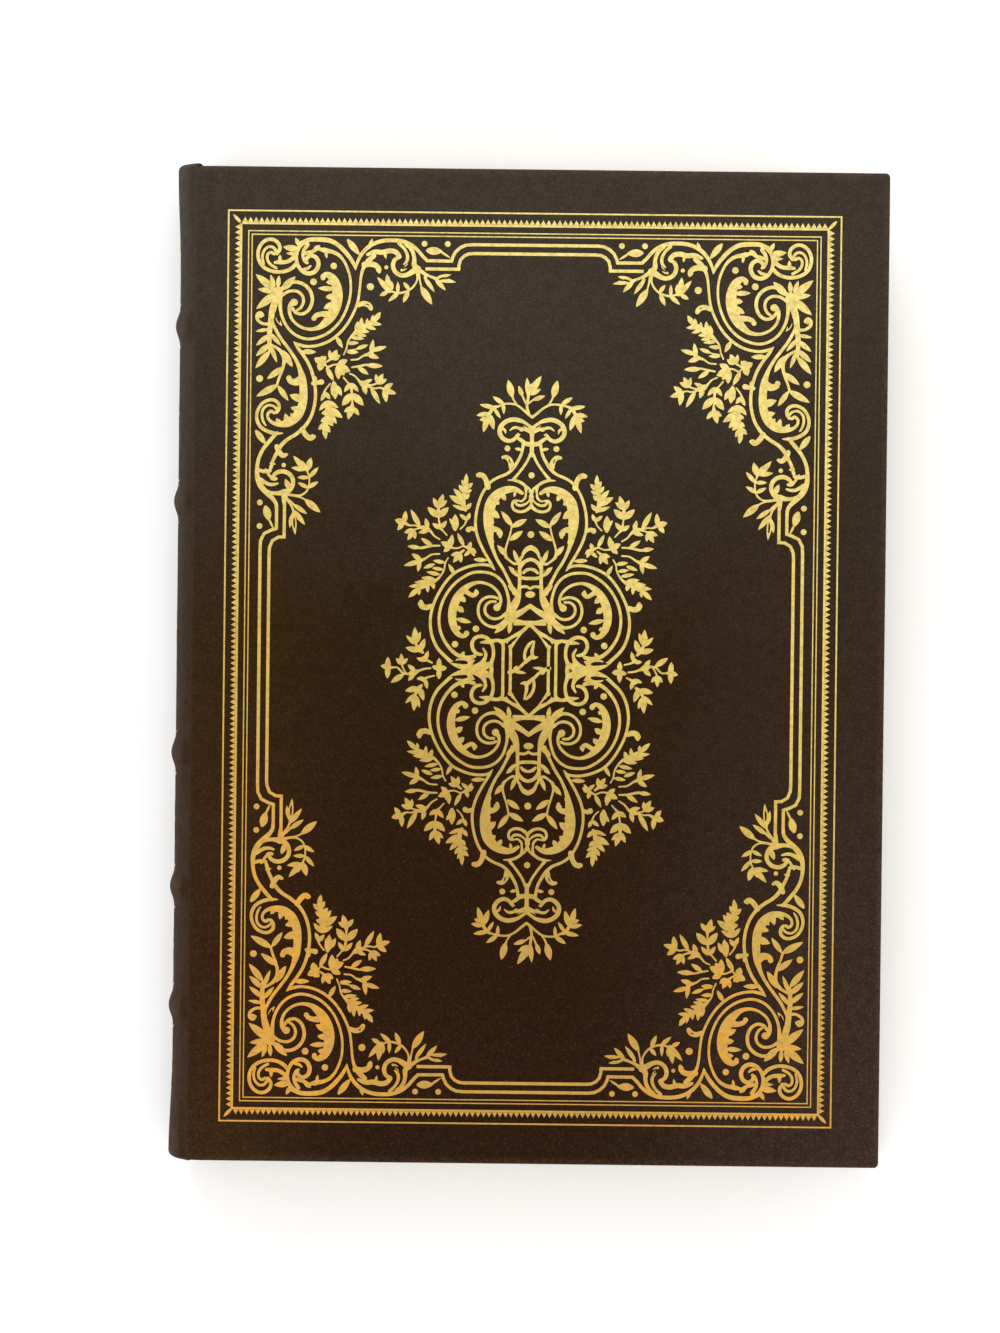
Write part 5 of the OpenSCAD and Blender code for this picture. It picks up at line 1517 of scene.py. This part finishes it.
MIDDLE_LEAVES = [
 [-7.6,44.6,-6.7,43,1.6], [-4.2,45.4,-4.6,43.9,1], [-9.8,43.2,-8.3,42,1.9],
 [-10.8,40.6,-8.2,38.5,2.3], [-11,37.6,-9.5,37.3,1.5], [-10.8,33.8,-9.5,32.1,1.3],
 [-5,36.6,-7.8,40.3,1.8], [-5,36.3,-1.2,38.3,1.9], [-5.5,32.9,-2.2,35.3,1.9],
 [-6.3,28.9,-8.7,31.6,1.7],
 [-3.2,27,-4.6,30.5,1.4], [-2.9,23.6,-5.8,26.2,1.7], [-3.4,19.4,-5.9,21.5,1.7],
 [-18,18.4,-16.6,17,1.8], [-18.8,15.8,-17,14.4,1.9], [-19,12.7,-15.1,11.8,1.6],
 [-18.8,10.8,-17.8,10,1.3], [-17.6,3,-16.8,4.4,1.3],
 [-19.5,24,-21.1,26.7,1.3], [-14.6,27.9,-11,27.7,1.4], [-2.8,56,-4.5,56.3,1.1],
 [-5.6,12.2,-9.2,9.1,1.8], [-5,12,-5.5,9,1.5],
]
MIDDLE_DOTS = [[-6.4,56.3,.85], [-13.9,10.2,.95], [-19.2,6.2,.95], [-8.6,15.7,1.05],
[-13.9,19.4,.75], [-28,16.4,.9], [-16.1,35.5,.8], [-13.3,49.5,.8], [-6.9,54.1,.6], [-16.3,9,.8],
[-8.2,34.6,.75]]
MIDDLE_VEINS = [
 [[-3.4,60.4,.8], [-2.4,60.1,1], [-1.5,59.2,.7], [-1.1,58.4,.3]],
 [[-1.2,61.7,.3], [-2.6,62.5,.5], [-4.2,62.7,.6], [-5.7,62.2,.8], [-6.5,61.1,.7]],
 [[-.9,45.9,.2], [-1.1,44.6,.5], [-1,43.4,.5], [-1.8,42.6,.4], [-2.9,42.4,.3]],
 [[-4.5,41.8,.5], [-3.5,41.1,.5], [-2.2,41.2,.5], [-1.3,41.7,.3]],
 [[-11.2,1.7,.2], [-10.8,2.8,.5], [-10.5,4.2,.8], [-10.9,5.4,.8], [-12,6,.7]],
 [[-14.4,1.2,.5], [-13.6,1.9,1.2], [-12.8,2.6,1.3], [-12.2,3.1,.8]],
 [[-19.9,1.6,.4], [-18.4,1.65,1], [-17,1.6,1.2], [-16.2,1.5,.9]],
 [[-10.7,-.25,.6], [-10.9,-.25,.6]],
 [[-5.9,5.9,.5], [-5.2,6.8,.9], [-4.2,7.6,.8], [-3.4,8.2,.3]],
 [[-3.2,24.5,.2], [-3.9,25.1,.3], [-4.4,25.9,.2]],
 [[-6,53.6,.2], [-5.8,53,.35], [-5.6,52.6,.2]],
]
AXIS_DOTS = [
 [-.15,19.1,1.45,.95], [-.15,49.5,.9,.9], [-.15,34.4,1,1]]
print("quarter:", len(MIDDLE_STEMS), "stems and", len(MIDDLE_LEAVES), "leaves")

# %% [markdown]
# Outside its scrolls the centrepiece ends in sprays like those of the corners. They are
# mirrored with their quarter.

# %% Outer sprays of the centrepiece, one quarter
OUTER_STEMS = [
 [[-18.2,35.6,.45], [-17.2,36.6,.45], [-16.7,37.6,.6], [-16.4,38.6,.6]],
 [[-16.9,40.4,.9], [-17.5,42,1.5], [-17.6,43.6,1.5], [-17.1,45.4,1.2], [-16.8,47.4,.9]],
 [[-21.6,34,.45], [-22.4,34.9,.5], [-23.3,36,.9], [-23.7,38.2,.5], [-23.8,39.4,1.2],
  [-23.8,41.2,.8]],
 [[-23.4,32.9,.5], [-24.8,33.8,.55], [-25.8,35,.8], [-27,35.8,1.4], [-28.4,36,.8], [-29.8,36.4,.5],
  [-31.2,36.4,.6], [-32.6,37.2,1.3]],
 [[-28,35.8,.6], [-29.4,35.5,.5], [-30.3,35,.9]],
 [[-23.4,31.3,.5], [-25.6,31.2,.7], [-28,30.7,.8], [-29.4,30.8,.8]],
 [[-23.4,29.2,.5], [-25.4,29,.55], [-27,28,.7], [-28.4,27.4,1.3]],
 [[-21.2,28.2,.45], [-21.9,26.9,.5], [-22.2,25.2,.5], [-23,23.7,.6], [-24.2,22.5,.9],
  [-25.6,21.8,1.3], [-27.2,20.9,1.1], [-28.8,20.2,1], [-30.4,19,.8]],
 [[-20.4,30.8,.6], [-18.9,30.7,.5], [-17.4,31.2,.5], [-16.4,30.9,.8], [-15.4,30.3,1.4]],
 [[-17.2,30.2,.6], [-18.2,29.4,1], [-19,28.6,1.3]],
]
OUTER_LEAVES = [
 [-16.5,37.9,-18.4,39.4,1.3], [-16.5,37.9,-15.7,39.8,1.3],
 [-16.8,40.4,-20.3,41.7,1.3], [-16.8,40.6,-15.4,42.3,1.4], [-17.2,42,-21.1,44.1,2.1],
 [-17.4,43.2,-20,45.9,1.7], [-17.2,43.2,-15.9,44.6,1.4], [-17.2,45,-18.7,46.9,1.5],
 [-17,44.8,-15.3,45.7,1.2], [-17,45.8,-15.1,47.4,1.5], [-17,46.2,-18,48.2,1.2],
 [-16.9,46.4,-16.8,49.8,1.5],
 [-19.5,35.1,-19.5,39.4,2.4], [-19.6,36.4,-21,38.3,1.2],
 [-23.3,35.6,-25.3,37,1.5], [-23.3,35.6,-21.6,37.7,1.5], [-23.8,38.6,-26.6,41.1,2.1],
 [-23.8,38.6,-21.2,41.1,2.1], [-23.8,40.8,-25.2,43.5,1.6], [-23.8,40.8,-22.6,44.5,1.9],
 [-23.8,41,-21.6,42.9,1.5],
 [-26,35.3,-28.9,34.5,1.5], [-26.4,35.7,-27.1,38.3,1.5], [-28.4,36,-30.9,40.5,1.7],
 [-32.4,37,-34.9,37.8,2], [-32.4,37,-32.2,40.1,1.7], [-32.6,37.2,-34.2,35.1,1.6],
 [-29.8,35.3,-32.5,34.5,1.7], [-29.9,35.3,-31.6,32.6,1.7], [-29.9,35.2,-29.7,32.9,1.3],
 [-28.4,30.7,-31.6,31.1,1.4], [-25.2,31.2,-28.2,33.2,1.5],
 [-28,27.5,-30.5,29.2,1.6], [-28.2,27.3,-32.5,26.1,1.6], [-28.3,27.5,-28.9,24.6,1.4],
 [-22,27,-25.1,27.5,1.3], [-24.6,26.6,-27.5,25.5,1.3], [-22.4,25.2,-25.3,25.6,1.2],
 [-23.2,23.9,-26.7,24.6,1.3], [-24.4,22.6,-28,23.1,1.6], [-25.6,21.9,-29.7,21.9,1.6],
 [-27,21.2,-31.2,20.8,1.4], [-28.6,20.4,-31.2,18,1.6], [-25.2,22,-24.7,20.2,1.4],
 [-26.4,21.4,-26.3,19.3,1.2], [-28.4,20.2,-28.6,18.6,1.1],
 [-20.6,31,-20.2,34.2,1.7], [-20.5,31,-23.1,32.3,1.9], [-20.6,31.2,-22.4,29.7,1.6],
 [-20.4,30.8,-21.2,33,1.6],
 [-17.2,31.3,-18.9,34.6,1.4], [-16,30.6,-15.4,32.4,1.4], [-15.8,30.7,-14,29.5,1.7],
 [-15.6,30.8,-14.4,28.6,1.3], [-15.4,30.2,-17.2,28.7,1.2],
 [-18,29.4,-20.5,28.9,1.6], [-18.2,29.4,-19.9,27,1.6], [-18.3,29.6,-17.9,27,1.6],
]
print("outer sprays:", len(OUTER_STEMS), "stems and", len(OUTER_LEAVES), "leaves")

# %% [markdown]
# The sprays on the axes lean, and a mirror image would lean the wrong way. One at the top,
# one at the side and half of the panel's are drawn; the others are these turned half round.

# %% Sprays turned half round: top, side and panel
TOP_STEMS = [
 [[-.15,64.3,.8], [-1.2,65.1,.8], [-2.6,66.3,.7], [-4.2,67.4,.65], [-5.8,67.7,.6], [-7.4,67.6,.7],
  [-8.8,67,.7], [-10,66.6,1.2], [-10.9,65.4,1], [-11.4,64.2,1.4]],
 [[-.15,64.3,.8], [1.2,65.4,.8], [2.8,66.7,.7], [4.4,67.5,.65], [6,67.6,.6], [7.4,67.4,.8],
  [8.8,67.1,.7], [9.9,66.5,1.2], [10.7,65.4,1], [11.2,64.2,1.4]],
 [[-4.2,67.5,.6], [-5,68.8,.55], [-5.4,70,.8]], [[3.8,67.2,.6], [4.8,68.8,.55], [5.2,70,.8]],
 [[-1.1,65.2,.9], [-1.5,67,.8], [-1.3,68.8,.8], [-1.1,70.4,1]],
 [[-1.7,67.6,.6], [-2.4,69,.6], [-2.9,70.2,.7]], [[-1.2,67.8,.6], [-.4,68.4,.5], [.4,69,.6]],
]
TOP_LEAVES = [
 [-5.3,69.4,-6.4,73.8,2.3], [5.1,69.4,6.2,73.8,2.3], [-2.7,69.6,-3.7,72.3,1.5],
 [.0,68.7,3.1,69.8,1.5],
 [-1.2,69.6,-1.6,74.4,1.7], [-1,70.2,2.1,74.9,2.2], [-.6,70,2,71.6,1.4], [-1,71.4,.6,73.2,1.6],
 [-7.4,67.6,-10.3,69.5,1.5], [-7.6,67.8,-7.4,65,1.2], [7.2,67.6,10.1,69.5,1.5],
 [7.2,67.8,7.1,64.9,1.2],
 [-9.6,66.6,-13.6,67.4,1.5], [-10,66.6,-8.2,63.9,1.2], [9.6,66.6,13.4,67.2,1.5],
 [9.8,66.6,8.2,64,1.2],
 [-11.2,65.2,-14.4,64.6,1.5], [-11.4,64.8,-12.6,60.3,1.9], [-11,65,-9.9,61,1.9],
 [-11.6,64,-13.6,63.4,1.4],
 [11,65.2,14,64.6,1.5], [11,64.8,12.4,60.3,1.9], [10.8,65,9.5,61,1.9], [11.4,64,13.2,63.4,1.4],
]
SIDE_STEMS = [
 [[-25.4,0,.55], [-27,-.2,.6], [-28.4,-.7,.8], [-29.8,-1.2,2], [-31,-1.5,.8], [-32.4,-1.3,.6],
  [-33.2,-.5,.6], [-33.9,.1,.5], [-35,.1,.6], [-36.2,0,1.6]],
 [[-31.6,-1.3,.5], [-32.2,-.4,.5], [-32.7,.8,.6], [-32.9,1.8,1.2]],
 [[-25,1.4,.5], [-26.2,2,.8], [-27.2,2.6,1.2]], [[-24.4,-1.9,.5], [-26,-2.3,.6], [-27.2,-3,1.2]],
 [[-27.4,4,.8], [-28.4,4.9,1.6], [-29.2,6.2,.8], [-29.6,8.2,1.6]], [[-27.6,-4.4,.8],
  [-28.6,-5.6,1.6], [-29.2,-6.8,.8], [-29.6,-8.8,1.6]],
 [[-22.8,0,1.8], [-23.6,0,1.6]],
]
SIDE_LEAVES = [
 [-23.2,-.2,-23.2,2.7,1.7], [-23.2,-.2,-23.2,-2.8,1.7], [-23.4,0,-25,.5,1.4],
 [-23.2,0,-21.2,.1,1.8],
 [-26.6,1.8,-29,2.6,1.3], [-26.8,2,-26,4.5,1.4], [-26.8,-2.6,-28.9,-2.7,1.3],
 [-26.8,-2.6,-26.1,-5.3,1.4],
 [-28.2,4.4,-31.8,5.2,1.9], [-28.2,4.2,-26.9,7.6,1.9], [-28.4,-5,-31.8,-5.9,1.9],
 [-28.2,-4.8,-27,-8.3,1.9],
 [-29.2,6,-31.7,8.3,1.4], [-29.2,6,-29.5,10.5,2], [-29.2,6.2,-28,9.3,1.5],
 [-29.2,-6.6,-31.7,-9,1.4], [-29.2,-6.6,-29.5,-11,2], [-29.2,-6.8,-28,-10.1,1.5],
 [-29.2,-.9,-31.2,.9,1.5], [-29.4,-1.2,-31,-3.3,1.5], [-32.2,-1.6,-35.5,-3.8,1.8],
 [-32.7,.8,-34.2,2.5,1.4], [-32.7,.8,-32.9,3.7,1.5], [-32.7,.9,-31.2,2.5,1.3],
 [-36.2,-.4,-36.3,2.8,1.8], [-36.2,.4,-36.4,-2.8,1.8], [-35.6,.1,-38.1,.5,1.8],
]
PANEL_STEMS = [
 [[-5.2,-.8,1.3], [-3.8,-.3,1.1], [-2.6,.5,.9], [-1.5,1.6,.9], [-.3,2.6,1.2], [.6,3.4,1.3]],
 [[-1,1.8,.9], [-1.4,3.2,.9], [-1.2,4.8,.9], [-.4,6.2,1], [.6,7.1,.7]],
 [[.6,3.2,1], [.5,4.6,1], [.8,6,.8], [1.1,7.2,.4]],
]
PANEL_LEAVES = [[-4.4,-.5,-.9,-1,1.1], [-4.2,-.4,-3.2,.9,1.1], [0,2.8,2.2,3.2,1.1]]
print("top, side and panel:", len(TOP_STEMS + SIDE_STEMS + PANEL_STEMS), "stems")

# %% [markdown]
# Gold and the sheet of painted shade under it come from the same drawings. One function turns a
# drawing into outlines: press thins every stroke, and spread widens it again for the rim.

# %% Outlines of stems and leaves together
def outlines(stems, leaves, stem_press=0.85, leaf_press=0.8, spread=0.0):
    """The outlines of stems and leaves, all pressed and spread alike."""
    shapes = [stroke(points, press=stem_press, spread=spread) for points in stems]
    return shapes + [leaf(*values, press=leaf_press, spread=spread) for values in leaves]


corner_drawing = CORNER_STEMS + SPRAY_STEMS, CORNER_LEAVES + SPRAY_LEAVES
quarter_drawing = MIDDLE_STEMS + OUTER_STEMS, MIDDLE_LEAVES + OUTER_LEAVES
turned_drawing = TOP_STEMS + SIDE_STEMS + PANEL_STEMS, TOP_LEAVES + SIDE_LEAVES + PANEL_LEAVES
for title, (stems, leaves) in (("a whole corner", corner_drawing),
                               ("a whole quarter", quarter_drawing),
                               ("what is turned", turned_drawing)):
    print(title, "has", len(stems), "stems and", len(leaves), "leaves")

# %% [markdown]
# The four corner tools are cut alike, so one is gilded and mirrored to its places. It is a
# piece of its own in each corner, because a binder presses each corner by itself.

# %% One corner of scrolls, then its three mirror images
corner_gold = outlines(*corner_drawing, stem_press=0.92, leaf_press=0.88)
corner_gold += [dot(*values) for values in CORNER_DOTS]
corner_veins = [stroke(points) for points in CORNER_VEINS]
corner = gild("corner_scrolls", corner_gold, corner_veins, gold_high + 0.002)
print("one corner:", len(corner.data.polygons), "faces")
corner_places = (("head_spine", 1, 1), ("head_fore_edge", -1, 1),
                 ("tail_spine", 1, -1), ("tail_fore_edge", -1, -1))
corners = [mirrored(corner, "corner_tooling_" + where, side, end)
           for where, side, end in corner_places]
bpy.data.objects.remove(corner)
for piece in corners:
    lay_on_cover(piece, "front_cover")
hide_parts("front_gilt_corners")

# %% [markdown]
# A hot brass tool also presses a hollow round the gold and closes the grain there. Its shade
# is painted: the same outlines, a little wider, make a hair-thin dark sheet under the gold.

# %% The painted shade under the corners
wide_corner = outlines(*corner_drawing, spread=0.55)
wide_corner += [dot(x, y, across + 0.2) for x, y, across in CORNER_DOTS]
corner_rim_shade = gild("corner_rim_shade", wide_corner, height=rim_shade_high)
for where, side, end in corner_places:
    piece = mirrored(corner_rim_shade, "pressed_corner_" + where, side, end)
    lay_on_cover(piece, finish=painted_rim_shade)
bpy.data.objects.remove(corner_rim_shade)
print("singed leather lies", round(rim_shade_high - top_z, 3), "mm above the cover")

# %% [markdown]
# The centrepiece has two kinds of symmetry. Its scrolls mirror left to right and head to
# tail, so a quarter is laid four times; its sprays were cut as if turned half round. Each
# layer lies a hair higher than the last, so that no two sheets of gold share a surface.

# %% The centrepiece
centre = (-0.15, -0.25)
quarter_gold = outlines(*quarter_drawing) + [dot(*values) for values in MIDDLE_DOTS]
quarter_veins = [stroke(points) for points in MIDDLE_VEINS]
quarter = gild("centre_quarter", quarter_gold, quarter_veins, gold_high + hair)
print("one quarter:", len(quarter.data.polygons), "faces")
scrolls = four_ways(quarter, "centrepiece_scrolls", centre)
axis_dots = gild("axis_dots", [dot(*values) for values in AXIS_DOTS], height=gold_high + 0.006)
axis_dots = joined([axis_dots, mirrored(axis_dots, "axis_dots_below", 1, -1, centre)],
                   "centrepiece_dots")
sprays = gild("sprays", outlines(*turned_drawing), height=gold_high + 2 * hair)
sprays = joined([sprays, mirrored(sprays, "sprays_turned", -1, -1, centre)],
                "centrepiece_sprays")
for piece in (scrolls, axis_dots, sprays):
    lay_on_cover(piece, "front_cover")
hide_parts("front_gilt_centrepiece")

# %% [markdown]
# The centrepiece gets its rim of painted shade as the corners did. Its turned sprays run
# over the scrolls, so their sheet lies a little higher.

# %% The painted shade under the centrepiece
quarter_rim_shade = gild("quarter_rim_shade", outlines(*quarter_drawing, spread=0.55),
                      height=rim_shade_high)
scroll_rim_shade = four_ways(quarter_rim_shade, "pressed_centre_scrolls", centre)
spray_rim_shade = gild("spray_rim_shade", outlines(*turned_drawing, spread=0.5),
                     height=rim_shade_high + 0.014)
spray_rim_shade = joined([spray_rim_shade, mirrored(spray_rim_shade, "turned_rim_shade", -1, -1, centre)],
                       "centre_spray_rim_shade")
for piece in (scroll_rim_shade, spray_rim_shade):
    lay_on_cover(piece, finish=painted_rim_shade)

# %% [markdown]
# The book rests on a plain pale floor. The floor is stage, not part of the book, so it is
# marked as such. It glows very faintly, so that it stays nearly white in the book's shade.

# %% Floor and the two boxes
bpy.ops.mesh.primitive_plane_add(size=8, location=(0, 0, 0))
floor = bpy.context.object
floor.name = "studio_floor"
plain = Finish("studio_floor", specular_ior_level=0.1, roughness=0.9, emission_strength=0.1)
cloudy = plain.noise(400, 2, 0.5)
floor_white = plain.mix(cloudy, (0.93, 0.93, 0.93), (0.96, 0.96, 0.96))
floor.data.materials.append(plain.feed(colour=floor_white))
floor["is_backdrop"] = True
put_down()


def plain_box(box):
    """A box as nested lists of numbers."""
    return [list(part) if hasattr(part, "__len__") else part for part in box]


dressed_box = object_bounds()
{"solids": plain_box(solids_box), "dressed": plain_box(dressed_box)}
print("solids box:", plain_box(solids_box))
print("dressed box:", plain_box(dressed_box))
